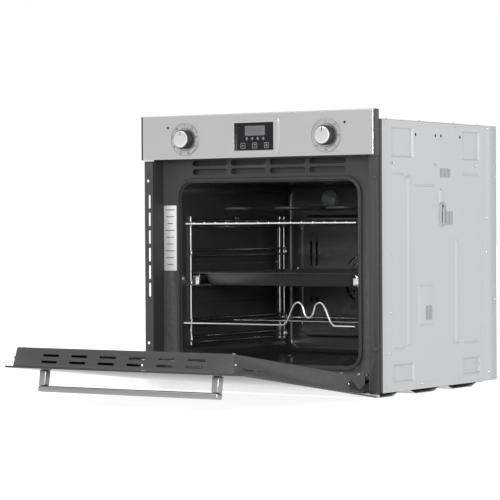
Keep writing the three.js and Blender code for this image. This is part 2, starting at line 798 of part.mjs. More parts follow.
function rearCover(base) {
  const start = rearStart + fit;
  const wall = [bodyDepth - 3, bodyDepth + 1];
  const inner = bodyHalf - sheet;
  const tools = [
    block([-inner, inner], [start - 1, bodyDepth - sheet], [base + sheet, bodyTop - sheet]),
    block(inletX, wall, inletZ),
  ];
  for (let row = 0; row < 7; row += 1) {
    for (const x of [-150, 0]) {
      const z = inletZ[0] + 12 * row;
      tools.push(block([x - 55, x + 55], wall, [z, z + 4]));
    }
  }
  const pan = cut(block([-bodyHalf, bodyHalf], [start, bodyDepth], [base, bodyTop]), ...tools);
  place('rear_cover', pan, galvanised);
  const grown = ([from, to], margin) => [from - margin, to + margin];
  const boxFront = bodyDepth - boxDepth;
  const flangeRange = [boxFront, bodyDepth - sheet - fit - 0.2];
  const box = join(
    block(grown(inletX, -0.5), [boxFront, bodyDepth - 0.4], grown(inletZ, -0.5)),
    block(grown(inletX, inletFlange), flangeRange, grown(inletZ, inletFlange)),
  );
  const entryX = (inletX[0] + inletX[1]) / 2;
  const entryZ = (inletZ[0] + inletZ[1]) / 2 - 10;
  const entry = rod([entryX, bodyDepth - 20, entryZ], [entryX, bodyDepth + 1, entryZ], 6, 16);
  place('terminal_box', cut(box, entry), blackPlastic);
}

// ---- cooling blower -----------------------------------------------------------------------

const blowerDepth = 360;
const blowerHeight = bodyTop - 58;
const blowerHalf = 120;
const ductHalf = 212;
const rotorRadius = 26;

function blower() {
  const room = rotorRadius + 4;
  const [low, high] = [blowerHeight - 48, blowerHeight - 14];
  const houseTop = blowerHeight + room + 4;
  const houseRange = [blowerDepth - room - 6, blowerDepth + room + 4];
  const house = cut(
    join(
      block([-blowerHalf - 5, blowerHalf + 5], houseRange, [low, houseTop]),
      block([-ductHalf, ductHalf], [casingStart + 4, blowerDepth - room], [low, high]),
    ),
    rod([-blowerHalf, blowerDepth, blowerHeight], [blowerHalf, blowerDepth, blowerHeight], room, 24),
    block([3 - ductHalf, ductHalf - 3], [casingStart - 10, blowerDepth - room - 20], [low + 2, high - 2]),
    block([-blowerHalf, blowerHalf], [blowerDepth - room - 30, blowerDepth - 5], [low + 2, high - 2]),
    block([-blowerHalf, blowerHalf], [blowerDepth - 8, blowerDepth + 22], [blowerHeight, bodyTop - 10]),
    rod([blowerHalf - 2, blowerDepth, blowerHeight], [blowerHalf + 8, blowerDepth, blowerHeight], 6, 12),
  );
  place('blower_housing', house, galvanised);
  const parts = [];
  for (const x of [-blowerHalf + 4, 0, blowerHalf - 6]) {
    parts.push(rod([x, 0, 0], [x + 2, 0, 0], rotorRadius, 12));
  }
  parts.push(rod([-blowerHalf + 4, 0, 0], [blowerHalf + 14, 0, 0], 3, 8));
  const vanes = 12;
  const vaneHalf = blowerHalf - 4.5;
  for (let i = 0; i < vanes; i += 1) {
    const vane = block([-vaneHalf, vaneHalf], [rotorRadius - 6, rotorRadius - 0.5], [-0.6, 0.6]);
    parts.push(vane.rotateX((2 * Math.PI * i) / vanes));
  }
  const rotor = join(...parts).translate(0, blowerDepth, blowerHeight);
  place('blower_rotor', rotor, blackPlastic);
  const start = blowerHalf + 14 + fit;
  const bracket = [blowerHeight - 30, blowerHeight + 30];
  const motor = join(
    rod([start, blowerDepth, blowerHeight], [start + 36, blowerDepth, blowerHeight], 24, 20),
    block([start + 6, start + 26], [blowerDepth - 26, blowerDepth + 34], bracket),
  );
  place('blower_motor', motor, galvanised);
}

// ---- door ---------------------------------------------------------------------------------
// The door is built closed, then turned open about its hinge pins.

const door = new THREE.Group();
const swing = new THREE.Group();
swing.position.set(0, hingeSetback, hingeHeight);
swing.rotation.x = THREE.MathUtils.degToRad(doorAngle);
door.position.set(0, -hingeSetback, -hingeHeight);
swing.add(door);
inside.add(swing);

const shellBottom = frontLift + doorShellStart;
const shellTop = doorTop - 0.5;
const innerGlass = [390, 300];
const innerGlassAt = shellTop - 44.5 - innerGlass[1] / 2;
const channelHalf = 8;
const pinRadius = 1.7;
const eyeRadius = hingeSetback - glassThickness - 0.4;
const handleHalf = 220;
const handleDrop = 32; // top of the door to the handle bar's middle
const handleBar = [12, 20]; // thickness away from the door, height
const handleStand = 32; // clear space between the glass and the bar
const postWidth = 18;

function doorGlass() {
  const middle = [0, (frontLift + doorTop) / 2];
  const outer = roundedRect(glassWidth, doorTop - frontLift, 2, middle, 3);
  place('door_outer_glass', slab(outer, [0, glassThickness]), clearGlass, door);
  const back = doorShellDepth - sheet - fit;
  const inner = roundedRect(...innerGlass, 4, [0, innerGlassAt], 3);
  place('door_inner_glass', slab(inner, [back - glassThickness, back]), clearGlass, door);
}

function doorShell() {
  const half = shellHalf;
  const front = glassThickness + fit;
  const shell = block([-half, half], [front, doorShellDepth], [shellBottom, shellTop]);
  const inner = half - sheet;
  const tools = [
    block([-inner, inner], [front - 1, doorShellDepth - sheet], [shellBottom - 1, shellTop - sheet]),
    slab(
      roundedRect(innerGlass[0] - 30, innerGlass[1] - 30, 8, [0, innerGlassAt], 4),
      [doorShellDepth - 3, doorShellDepth + 1],
    ),
  ];
  const slot = 40;
  for (const y of [14, 27]) {
    for (let i = 0; i < 6; i += 1) {
      const x = 71 * (i - 2.5) + 4;
      tools.push(block([x - slot / 2, x + slot / 2], [y - 2.4, y + 2.4], [shellTop - 3, shellTop + 1]));
    }
  }
  for (const side of [-1, 1]) {
    for (const z of [shellTop - 103.5, shellTop - 47.5]) {
      const wall = side < 0 ? [-half - 1, -half + 3] : [half - 3, half + 1];
      tools.push(block(wall, [8.6, 12.6], [z - 20, z + 20]));
    }
  }
  place('door_shell', cut(shell, ...tools), darkPaint, door);
}

function handle() {
  const z = doorTop - handleDrop;
  const height = [z - handleBar[1] / 2, z + handleBar[1] / 2];
  const near = -handleStand;
  const bar = block([-handleHalf, handleHalf], [near - handleBar[0], near], height);
  place('handle_bar', bar, stainless, door);
  for (const [name, side] of sides) {
    const range = outward(side, handleHalf - postWidth, handleHalf);
    place(`handle_post_${name}`, block(range, [near + fit, -fit], height), stainless, door);
  }
}

function hinges() {
  const pivot = [hingeSetback, hingeHeight];
  for (const [name, side] of sides) {
    const x = side * hingeSpread;
    const channelFront = glassThickness + 0.5;
    const low = hingeHeight - 5;
    const outline = [
      [channelFront, low], [pivot[0] + 4, low], [30, low + 34], [30, 200], [channelFront, 200],
    ];
    const slot = armThickness / 2 + 1;
    const channel = cut(
      profile(outline, [x - channelHalf, x + channelHalf]),
      block([x - slot, x + slot], [channelFront - 1, 28.5], [low - 1, 201]),
      rod([x - channelHalf - 1, ...pivot], [x + channelHalf + 1, ...pivot], pinRadius + 0.25, 16),
    );
    place(`hinge_channel_${name}`, channel, galvanised, door);
    const pin = rod([x - channelHalf + 0.5, ...pivot], [x + channelHalf - 0.5, ...pivot], pinRadius, 12);
    place(`hinge_pin_${name}`, pin, chrome, door);
    const half = armThickness / 2;
    const [y, z] = pivot;
    const face = faceDepth;
    const strap = [
      [y, z - eyeRadius], [y + 14, z - 1.5], [face - 8, z + 3], [face + 18, z + 3], [face + 24, z + 8],
      [face + 24, z + 34], [face + 14, z + 34], [face + 14, z + 22], [face + 8, z + 17],
      [face - 6, z + 17], [y + 12, z + 6], [y, z + eyeRadius],
    ];
    const arm = cut(
      join(
        profile(strap, [x - half, x + half]),
        rod([x - half, y, z], [x + half, y, z], eyeRadius, 16),
      ),
      rod([x - half - 1, y, z], [x + half + 1, y, z], pinRadius + 0.25, 16),
    );
    place(`hinge_arm_${name}`, arm, galvanised);
  }
}

// ---- assembly -----------------------------------------------------------------------------

controlPanel();
timer();
knobs();
frontFrame();
mountingFlanges();
doorSeal();
ratingPlate();
cavity();
insulation();
baffle();
convectionFan();
ringHeater();
grillHeater();
baseHeater();
cavityLamp();
sideRacks();
wireShelf();
spitCradle();
runners();
bakingTray();
casing();
blower();
doorGlass();
doorShell();
handle();
hinges();

export default oven;
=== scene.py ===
"""A built-in wall oven with its drop-down door open: its looks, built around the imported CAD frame.

Lengths are written in millimetres and turned into metres by mm(). "Depth" runs back from the
control panel's face and "height" up from the floor, as in at(x, depth, height).
"""

import json
import math

import bpy
from mathutils import Matrix, Vector

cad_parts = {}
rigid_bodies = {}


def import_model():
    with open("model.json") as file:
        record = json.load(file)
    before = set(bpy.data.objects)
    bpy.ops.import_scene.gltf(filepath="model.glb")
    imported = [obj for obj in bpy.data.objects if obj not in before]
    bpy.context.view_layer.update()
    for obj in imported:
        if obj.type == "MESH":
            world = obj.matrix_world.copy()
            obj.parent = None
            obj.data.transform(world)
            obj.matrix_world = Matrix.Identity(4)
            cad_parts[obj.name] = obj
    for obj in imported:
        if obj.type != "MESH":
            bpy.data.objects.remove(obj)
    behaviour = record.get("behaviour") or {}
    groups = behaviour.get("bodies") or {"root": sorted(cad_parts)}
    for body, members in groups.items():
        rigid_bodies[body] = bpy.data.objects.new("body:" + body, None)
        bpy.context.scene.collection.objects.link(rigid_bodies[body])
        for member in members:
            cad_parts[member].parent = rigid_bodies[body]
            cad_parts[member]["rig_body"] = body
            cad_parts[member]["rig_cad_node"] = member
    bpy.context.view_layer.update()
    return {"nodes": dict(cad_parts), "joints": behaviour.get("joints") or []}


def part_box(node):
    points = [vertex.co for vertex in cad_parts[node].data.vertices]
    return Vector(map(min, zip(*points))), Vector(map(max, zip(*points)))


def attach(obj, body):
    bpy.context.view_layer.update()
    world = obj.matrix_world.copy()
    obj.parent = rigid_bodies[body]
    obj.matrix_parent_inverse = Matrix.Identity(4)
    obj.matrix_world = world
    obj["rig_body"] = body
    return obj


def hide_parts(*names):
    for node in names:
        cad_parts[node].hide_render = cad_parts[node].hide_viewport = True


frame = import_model()

MM = 0.001
NODES = frame["nodes"]
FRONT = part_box("control_panel")[0].y  # the control panel's face
BODY_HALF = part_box("front_frame")[1].x
HINGE = next(joint for joint in frame["joints"] if joint["name"] == "door_hinge")
PIVOT = Vector(HINGE["pos_m"])
DOOR_ANGLE = math.radians(-HINGE["range_deg"][0])
SHEET = 1.2 * MM  # wall of the cavity's sheet
PRESSED_WALL = 1.0  # wall of a pressed casing sheet, in millimetres
PRESSED_BEND = 1.2  # rounding of its bends, in millimetres
ALONG = 0.9  # a face looks along an axis when that part of its normal is past this
MERGE = 0.02 * MM  # points closer than this are one
FLAT = math.radians(0.5)  # faces within this angle lie in one plane
SIDES = (("left", -1), ("right", 1))


def mm(*values):
    """A point or size given in millimetres, in metres."""
    return Vector(values) * MM


def at(x, depth, height):
    """A point given by x, depth behind the panel's face and height above the floor, in millimetres."""
    return Vector((x * MM, FRONT + depth * MM, height * MM))


# ---- ways of working ------------------------------------------------------------------------


def deselect():
    if bpy.context.mode != "OBJECT":
        bpy.ops.object.mode_set(mode="OBJECT")
    bpy.ops.object.select_all(action="DESELECT")


def take(piece):
    """Selects one object alone and makes it active."""
    deselect()
    piece.select_set(True)
    bpy.context.view_layer.objects.active = piece
    return piece


def edit(piece, kind="VERT"):
    """Opens a piece in edit mode with nothing selected."""
    take(piece)
    bpy.ops.object.mode_set(mode="EDIT")
    bpy.ops.mesh.select_mode(type=kind)
    bpy.ops.mesh.select_all(action="DESELECT")


def choose(piece, kind, test):
    """In edit mode, selects the vertices, edges or faces whose middle passes the test."""
    bpy.ops.object.mode_set(mode="OBJECT")
    mesh = piece.data
    for group in (mesh.vertices, mesh.edges, mesh.polygons):
        group.foreach_set("select", [False] * len(group))
    if kind == "VERT":
        for vertex in mesh.vertices:
            vertex.select = test(vertex.co, vertex.normal)
    elif kind == "EDGE":
        for edge in mesh.edges:
            a, b = (mesh.vertices[i].co for i in edge.vertices)
            edge.select = test((a + b) / 2, (b - a))
    else:
        for face in mesh.polygons:
            face.select = test(face.center, face.normal)
    bpy.ops.object.mode_set(mode="EDIT")
    bpy.ops.mesh.select_mode(type=kind)


def done(piece, name):
    """Leaves edit mode, puts the piece's place into its mesh and names it."""
    take(piece)
    bpy.ops.object.transform_apply(location=True, rotation=True, scale=True)
    piece.name = name
    piece.data.name = name
    return piece


def modify(piece, kind, **settings):
    """Adds one modifier with its settings and applies it."""
    take(piece)
    modifier = piece.modifiers.new(kind.title(), kind)
    for key, value in settings.items():
        setattr(modifier, key, value)
    bpy.ops.object.modifier_apply(modifier=modifier.name)
    return piece


def smooth(piece, angle=35):
    """Shades smoothly over every edge that turns by less than the angle."""
    take(piece)
    bpy.ops.object.shade_smooth_by_angle(angle=math.radians(angle))
    return piece


def soften(piece, width, segments=2, angle=30):
    """Rounds every edge sharper than the angle, by a width in millimetres."""
    modify(
        piece,
        "BEVEL",
        width=width * MM,
        segments=segments,
        limit_method="ANGLE",
        angle_limit=math.radians(angle),
        use_clamp_overlap=True,
    )
    return smooth(piece)


def level(piece):
    """Shades the large flat faces flat and leaves the bends smooth."""
    return modify(smooth(piece), "WEIGHTED_NORMAL", keep_sharp=True, weight=100)


def thicken(piece, wall, even=False):
    """Gives a thin sheet its wall, in millimetres, behind its faces."""
    return modify(piece, "SOLIDIFY", thickness=wall * MM, offset=-1, use_even_offset=even)


def cut(piece, *tools):
    """Takes the tools out of a piece."""
    for tool in tools:
        modify(piece, "BOOLEAN", operation="DIFFERENCE", object=tool, solver="EXACT")
        bpy.data.objects.remove(tool)
    return piece


def join(name, pieces):
    """Makes one piece of several."""
    deselect()
    for piece in pieces:
        piece.select_set(True)
    bpy.context.view_layer.objects.active = pieces[0]
    bpy.ops.object.join()
    return done(bpy.context.view_layer.objects.active, name)


def block(name, low, high, soft=0, segments=2):
    """A block between two corners, its edges rounded by soft millimetres."""
    deselect()
    low, high = Vector(low), Vector(high)
    bpy.ops.mesh.primitive_cube_add(size=1, location=(low + high) / 2, scale=high - low)
    piece = done(bpy.context.object, name)
    return soften(piece, soft, segments) if soft else piece


TURN_TO = {"Z": (0, 0, 0), "-Y": (math.pi / 2, 0, 0), "Y": (-math.pi / 2, 0, 0), "X": (0, math.pi / 2, 0)}


def turned(name, profile, place, axis, sides):
    """A turned piece: (radius, height) pairs in millimetres from its base up, along an axis."""
    deselect()
    first = profile[0][0]
    bpy.ops.mesh.primitive_circle_add(vertices=sides, radius=first * MM, fill_type="NGON")
    piece = bpy.context.object
    bpy.ops.object.mode_set(mode="EDIT")
    bpy.ops.mesh.select_mode(type="FACE")
    bpy.ops.mesh.select_all(action="SELECT")
    bpy.ops.transform.translate(value=(0, 0, profile[0][1] * MM))
    for (r0, z0), (r1, z1) in zip(profile, profile[1:]):
        bpy.ops.mesh.extrude_region_move(TRANSFORM_OT_translate={"value": (0, 0, (z1 - z0) * MM)})
        share = r1 / r0
        bpy.ops.transform.resize(value=(share, share, 1), center_override=(0, 0, z1 * MM))
    bpy.ops.mesh.select_all(action="SELECT")
    bpy.ops.mesh.normals_make_consistent(inside=False)
    bpy.ops.object.mode_set(mode="OBJECT")
    piece.rotation_euler = TURN_TO[axis]
    piece.location = place
    return smooth(done(piece, name))


def plate(name, width, height, corner, segments=6):
    """A flat face in x and z with round corners, about the origin, that looks along -Y."""
    deselect()
    bpy.ops.mesh.primitive_plane_add(size=1)
    piece = bpy.context.object
    piece.scale = (width * MM, height * MM, 1)
    piece.rotation_euler = (math.pi / 2, 0, 0)
    done(piece, name)
    if corner:
        edit(piece)
        bpy.ops.mesh.select_all(action="SELECT")
        bpy.ops.mesh.bevel(offset=corner * MM, segments=segments, affect="VERTICES")
        bpy.ops.object.mode_set(mode="OBJECT")
    return piece


def slab(name, size, place, corner, soft=0):
    """A plate of size (width, height, thickness), its front face's centre at place."""
    width, height, thickness = size
    piece = plate(name, width, height, corner)
    edit(piece, "FACE")
    bpy.ops.mesh.select_all(action="SELECT")
    bpy.ops.mesh.extrude_region_move(TRANSFORM_OT_translate={"value": (0, thickness * MM, 0)})
    bpy.ops.mesh.select_all(action="SELECT")
    bpy.ops.mesh.normals_make_consistent(inside=False)
    bpy.ops.object.mode_set(mode="OBJECT")
    piece.location = place
    done(piece, name)
    return soften(piece, soft) if soft else smooth(piece)


STRAIGHT = 0.02  # a corner that turns by less than this, in radians, is left as it is


def rounded(points, bend, steps):
    """A path through points whose corners are arcs of radius bend, in metres."""
    path = [Vector(points[0])]
    for before, corner, after in zip(points, points[1:], points[2:]):
        into = (Vector(corner) - Vector(before)).normalized()
        out = (Vector(after) - Vector(corner)).normalized()
        turn = into.angle(out)
        if turn < STRAIGHT:
            path.append(Vector(corner))
            continue
        start = Vector(corner) - into * bend * math.tan(turn / 2)
        side = (out - into * out.dot(into)).normalized()
        for i in range(steps + 1):
            angle = turn * i / steps
            path.append(start + into * bend * math.sin(angle) + side * bend * (1 - math.cos(angle)))
    path.append(Vector(points[-1]))
    return path


def wire(name, points, radius, closed=False, detail=3):
    """A round wire along points in metres, with its radius in millimetres."""
    line = bpy.data.curves.new(name, "CURVE")
    line.dimensions = "3D"
    line.bevel_depth = radius * MM
    line.bevel_resolution = detail
    line.use_fill_caps = not closed
    spline = line.splines.new("POLY")
    spline.points.add(len(points) - 1)
    for point, place in zip(spline.points, points):
        point.co = (*place, 1)
    spline.use_cyclic_u = closed
    piece = bpy.data.objects.new(name, line)
    bpy.context.scene.collection.objects.link(piece)
    take(piece)
    bpy.ops.object.convert(target="MESH")
    return smooth(done(bpy.context.object, name), 50)


def straight(name, start, end, radius, detail=2):
    """A straight round bar."""
    return wire(name, [Vector(start), Vector(end)], radius, detail=detail)


def copy_of(piece, matrix):
    """A copy with its own mesh, moved by a matrix that is put into the mesh."""
    other = piece.copy()
    other.data = piece.data.copy()
    bpy.context.scene.collection.objects.link(other)
    other.matrix_world = matrix @ piece.matrix_world
    return done(other, piece.name + "_copy")


def mirrored(piece, name):
    """The same piece on the other side of the oven."""
    other = copy_of(piece, Matrix.Scale(-1, 4, (1, 0, 0)))
    edit(other, "FACE")
    bpy.ops.mesh.select_all(action="SELECT")
    bpy.ops.mesh.normals_make_consistent(inside=False)
    return done(other, name)


def refined(node, soft, segments=2):
    """A copy of a CAD node with its faces merged and its edges rounded."""
    take(NODES[node])
    bpy.ops.object.duplicate()
    piece = bpy.context.object
    bpy.ops.object.parent_clear(type="CLEAR_KEEP_TRANSFORM")
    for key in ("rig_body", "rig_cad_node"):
        del piece[key]
    edit(piece)
    bpy.ops.mesh.select_all(action="SELECT")
    bpy.ops.mesh.remove_doubles(threshold=MERGE)
    bpy.ops.mesh.dissolve_limited(angle_limit=FLAT)
    done(piece, node + "_finished")
    return soften(piece, soft, segments)


def opened(piece):
    """Turns a piece made in the closed door's place to the open door's place."""
    swing = Matrix.Translation(PIVOT) @ Matrix.Rotation(DOOR_ANGLE, 4, "X") @ Matrix.Translation(-PIVOT)
    piece.matrix_world = swing @ piece.matrix_world
    return done(piece, piece.name)


def fit_out(piece, finish, slot, *nodes, body=None):
    """Gives a piece its material, and its CAD body: the one of the nodes that it stands for."""
    piece.data.materials.clear()
    piece.data.materials.append(finish)
    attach(piece, body or NODES[nodes[0]]["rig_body"])
    if nodes:
        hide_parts(*nodes)
    return piece


def keep_node(node, finish):
    """Shows a CAD node as it is, with a better material."""
    piece = NODES[node]
    piece.data.materials.clear()
    piece.data.materials.append(finish)


# ---- pressed sheet ----------------------------------------------------------------------------


def face_of(points_to):
    """The matrix that stands a sheet drawn in x and y up so that it faces one way."""
    across, up = {"right": ("Y", "Z"), "back": ("-X", "Z"), "top": ("X", "Y")}[points_to]
    ways = {"X": (1, 0, 0), "-X": (-1, 0, 0), "Y": (0, 1, 0), "Z": (0, 0, 1)}
    u, v = Vector(ways[across]), Vector(ways[up])
    return Matrix((u, v, u.cross(v))).transposed().to_4x4()


def pressed_sheet(name, size, presses, holes, place, points_to):
    """A thin sheet from (u0, v0) to (u1, v1) with pressed areas and holes.

    Each press is (u0, v0, u1, v1, slope, rise) and each hole (u0, v0, u1, v1), in millimetres.
    """
    u0, v0, u1, v1 = size
    deselect()
    bpy.ops.mesh.primitive_plane_add(size=1, location=mm((u0 + u1) / 2, (v0 + v1) / 2, 0))
    piece = bpy.context.object
    piece.scale = mm(u1 - u0, v1 - v0, 1000)
    done(piece, name)
    edit(piece)
    across = sorted({u for p in [*presses, *holes] for u in (p[0], p[2]) if u0 < u < u1})
    up = sorted({v for p in [*presses, *holes] for v in (p[1], p[3]) if v0 < v < v1})
    for u in across:
        bpy.ops.mesh.select_all(action="SELECT")
        bpy.ops.mesh.bisect(plane_co=mm(u, 0, 0), plane_no=(1, 0, 0))
    for v in up:
        bpy.ops.mesh.select_all(action="SELECT")
        bpy.ops.mesh.bisect(plane_co=mm(0, v, 0), plane_no=(0, 1, 0))

    def inside(area):
        return lambda middle, normal: (
            area[0] * MM < middle.x < area[2] * MM and area[1] * MM < middle.y < area[3] * MM
        )

    for *area, slope, rise in presses:
        choose(piece, "FACE", inside(area))
        bpy.ops.mesh.inset(thickness=slope * MM, depth=rise * MM)
    for hole in holes:
        choose(piece, "FACE", inside(hole))
        bpy.ops.mesh.delete(type="FACE")
    bpy.ops.mesh.select_all(action="SELECT")
    bpy.ops.mesh.dissolve_limited(angle_limit=FLAT, use_dissolve_boundaries=False)
    done(piece, name)
    soften(piece, PRESSED_BEND, 2, 12)
    thicken(piece, PRESSED_WALL)
    piece.matrix_world = Matrix.Translation(place) @ face_of(points_to)
    return smooth(done(piece, name))


def screw_head(radius):
    """A pan-head screw with a cross recess, at the origin, facing up."""
    profile = [(1, 0), (1, 0.2), (0.93, 0.42), (0.7, 0.6), (0.35, 0.68)]
    head = turned("screw", profile, (0, 0, 0), "Z", 20)
    reach, half, floor, top = 0.55, 0.11, 0.35, 0.9
    across = block("slot", mm(-reach, -half, floor), mm(reach, half, top))
    along = block("slot", mm(-half, -reach, floor), mm(half, reach, top))
    cut(head, across, along)
    head.scale = (radius, radius, radius)
    return done(head, "screw")


SCREW_STEP = 0.7  # how much further each head of a row is turned, in radians


def screws(name, places, points_to, radius=3.4):
    """Screw heads on one face of the oven, joined into one piece, each turned a little further."""
    turns = {
        "right": Matrix.Rotation(math.pi / 2, 4, "Y"),
        "left": Matrix.Rotation(-math.pi / 2, 4, "Y"),
        "back": Matrix.Rotation(-math.pi / 2, 4, "X"),
        "front": Matrix.Rotation(math.pi / 2, 4, "X"),
        "top": Matrix.Identity(4),
    }
    head = screw_head(radius)
    heads = []
    for number, place in enumerate(places):
        spin = Matrix.Rotation(SCREW_STEP * number, 4, "Z")
        heads.append(copy_of(head, Matrix.Translation(place) @ turns[points_to] @ spin))
    bpy.data.objects.remove(head)
    return smooth(join(name, heads))


# ---- materials --------------------------------------------------------------------------------


def group_of(name, inputs, outputs):
    """An empty shader group with its sockets, and its input and output nodes."""
    tree = bpy.data.node_groups.new(name, "ShaderNodeTree")
    for socket, kind, value in inputs:
        made = tree.interface.new_socket(socket, in_out="INPUT", socket_type=kind)
        made.default_value = value
    for socket, kind in outputs:
        tree.interface.new_socket(socket, in_out="OUTPUT", socket_type=kind)
    enter = tree.nodes.new("NodeGroupInput")
    leave = tree.nodes.new("NodeGroupOutput")
    return tree, enter, leave


MASK_AND_NORMAL = (("Mask", "NodeSocketFloat"), ("Normal", "NodeSocketVector"))


def make_grain():
    """Fine parallel brush lines: a mask of the lines and a normal."""
    inputs = [("Stretch", "NodeSocketVector", (6, 900, 900)), ("Depth", "NodeSocketFloat", 0.05)]
    tree, enter, leave = group_of("Brushed grain", inputs, MASK_AND_NORMAL)
    place = tree.nodes.new("ShaderNodeTexCoord")
    stretch = tree.nodes.new("ShaderNodeVectorMath")
    stretch.operation = "MULTIPLY"
    noise = tree.nodes.new("ShaderNodeTexNoise")
    noise.inputs["Scale"].default_value = 1
    noise.inputs["Detail"].default_value = 4
    bump = tree.nodes.new("ShaderNodeBump")
    bump.inputs["Distance"].default_value = 0.0004
    link = tree.links.new
    link(place.outputs["Object"], stretch.inputs[0])
    link(enter.outputs["Stretch"], stretch.inputs[1])
    link(stretch.outputs[0], noise.inputs["Vector"])
    link(noise.outputs["Fac"], bump.inputs["Height"])
    link(enter.outputs["Depth"], bump.inputs["Strength"])
    link(noise.outputs["Fac"], leave.inputs["Mask"])
    link(bump.outputs["Normal"], leave.inputs["Normal"])
    return tree


def make_texture():
    """The fine bumps of a coat, casting or moulding: a mask and a normal."""
    inputs = [
        ("Size", "NodeSocketFloat", 900.0),
        ("Depth", "NodeSocketFloat", 0.2),
        ("Roughness", "NodeSocketFloat", 0.5),
    ]
    tree, enter, leave = group_of("Coat texture", inputs, MASK_AND_NORMAL)
    place = tree.nodes.new("ShaderNodeTexCoord")
    noise = tree.nodes.new("ShaderNodeTexNoise")
    noise.inputs["Detail"].default_value = 3
    bump = tree.nodes.new("ShaderNodeBump")
    bump.inputs["Distance"].default_value = 0.0005
    link = tree.links.new
    link(place.outputs["Object"], noise.inputs["Vector"])
    link(enter.outputs["Size"], noise.inputs["Scale"])
    link(enter.outputs["Roughness"], noise.inputs["Roughness"])
    link(noise.outputs["Fac"], bump.inputs["Height"])
    link(enter.outputs["Depth"], bump.inputs["Strength"])
    link(noise.outputs["Fac"], leave.inputs["Mask"])
    link(bump.outputs["Normal"], leave.inputs["Normal"])
    return tree


def make_patches():
    """Large soft patches of handling marks and uneven finish, from 0 to 1."""
    inputs = [("Size", "NodeSocketFloat", 9.0), ("Contrast", "NodeSocketFloat", 1.6)]
    tree, enter, leave = group_of("Uneven patches", inputs, MASK_AND_NORMAL[:1])
    place = tree.nodes.new("ShaderNodeTexCoord")
    noise = tree.nodes.new("ShaderNodeTexNoise")
    noise.inputs["Detail"].default_value = 5
    middle = tree.nodes.new("ShaderNodeMath")
    middle.operation = "SUBTRACT"
    middle.inputs[1].default_value = 0.5
    grown = tree.nodes.new("ShaderNodeMath")
    grown.operation = "MULTIPLY_ADD"
    grown.use_clamp = True
    grown.inputs[2].default_value = 0.5
    link = tree.links.new
    link(place.outputs["Object"], noise.inputs["Vector"])
    link(enter.outputs["Size"], noise.inputs["Scale"])
    link(noise.outputs["Fac"], middle.inputs[0])
    link(middle.outputs[0], grown.inputs[0])
    link(enter.outputs["Contrast"], grown.inputs[1])
    link(grown.outputs[0], leave.inputs["Mask"])
    return tree


def make_wear():
    """Where corners stand out and rub bare, from 0 to 1, broken up by fine noise."""
    inputs = [("Reach", "NodeSocketFloat", 0.56), ("Amount", "NodeSocketFloat", 0.5)]
    tree, enter, leave = group_of("Edge wear", inputs, MASK_AND_NORMAL[:1])
    shape = tree.nodes.new("ShaderNodeNewGeometry")
    place = tree.nodes.new("ShaderNodeTexCoord")
    noise = tree.nodes.new("ShaderNodeTexNoise")
    noise.inputs["Scale"].default_value = 160
    ramp = tree.nodes.new("ShaderNodeMapRange")
    ramp.inputs["To Max"].default_value = 1
    top = tree.nodes.new("ShaderNodeMath")
    top.operation = "ADD"
    top.inputs[1].default_value = 0.1
    broken = tree.nodes.new("ShaderNodeMath")
    broken.operation = "MULTIPLY"
    amount = tree.nodes.new("ShaderNodeMath")
    amount.operation = "MULTIPLY"
    amount.use_clamp = True
    link = tree.links.new
    link(shape.outputs["Pointiness"], ramp.inputs["Value"])
    link(enter.outputs["Reach"], ramp.inputs["From Min"])
    link(enter.outputs["Reach"], top.inputs[0])
    link(top.outputs[0], ramp.inputs["From Max"])
    link(place.outputs["Object"], noise.inputs["Vector"])
    link(ramp.outputs[0], broken.inputs[0])
    link(noise.outputs["Fac"], broken.inputs[1])
    link(broken.outputs[0], amount.inputs[0])
    link(enter.outputs["Amount"], amount.inputs[1])
    link(amount.outputs[0], leave.inputs["Mask"])
    return tree


GRAIN = make_grain()
TEXTURE = make_texture()
PATCHES = make_patches()
WEAR = make_wear()


class Finish:
    """A material being built around its Principled shader."""

    def __init__(self, name, colour, roughness, metallic=0.0, **sockets):
        self.material = bpy.data.materials.new(name)
        self.material.use_nodes = True
        self.nodes = self.material.node_tree.nodes
        self.link = self.material.node_tree.links.new
        self.shader = self.nodes["Principled BSDF"]
        self.colour = colour
        self.shader.inputs["Base Color"].default_value = (*colour, 1)
        self.shader.inputs["Roughness"].default_value = roughness
        self.shader.inputs["Metallic"].default_value = metallic
        for key, value in sockets.items():
            self.shader.inputs[key.replace("_", " ")].default_value = value

    def group(self, tree, **values):
        """Places a shared shader group with its own values."""
        node = self.nodes.new("ShaderNodeGroup")
        node.node_tree = tree
        for key, value in values.items():
            node.inputs[key].default_value = value
        return node

    def vary(self, socket, mask, low, high):
        """Runs a shader number from low to high with a mask."""
        span = self.nodes.new("ShaderNodeMapRange")
        span.inputs["To Min"].default_value = low
        span.inputs["To Max"].default_value = high
        self.link(mask, span.inputs["Value"])
        self.link(span.outputs[0], self.shader.inputs[socket])

    def tint(self, mask, other, share=1.0):
        """Mixes the base colour towards another by a mask."""
        mix = self.nodes.new("ShaderNodeMix")
        mix.data_type = "RGBA"
        mix.inputs[6].default_value = (*self.colour, 1)
        mix.inputs[7].default_value = (*other, 1)
        linked = self.shader.inputs["Base Color"].links
        if linked:
            self.link(linked[0].from_socket, mix.inputs[6])
        scaled = self.nodes.new("ShaderNodeMath")
        scaled.operation = "MULTIPLY"
        scaled.inputs[1].default_value = share
        self.link(mask, scaled.inputs[0])
        self.link(scaled.outputs[0], mix.inputs[0])
        self.link(mix.outputs[2], self.shader.inputs["Base Color"])

    def normal(self, socket):
        self.link(socket, self.shader.inputs["Normal"])


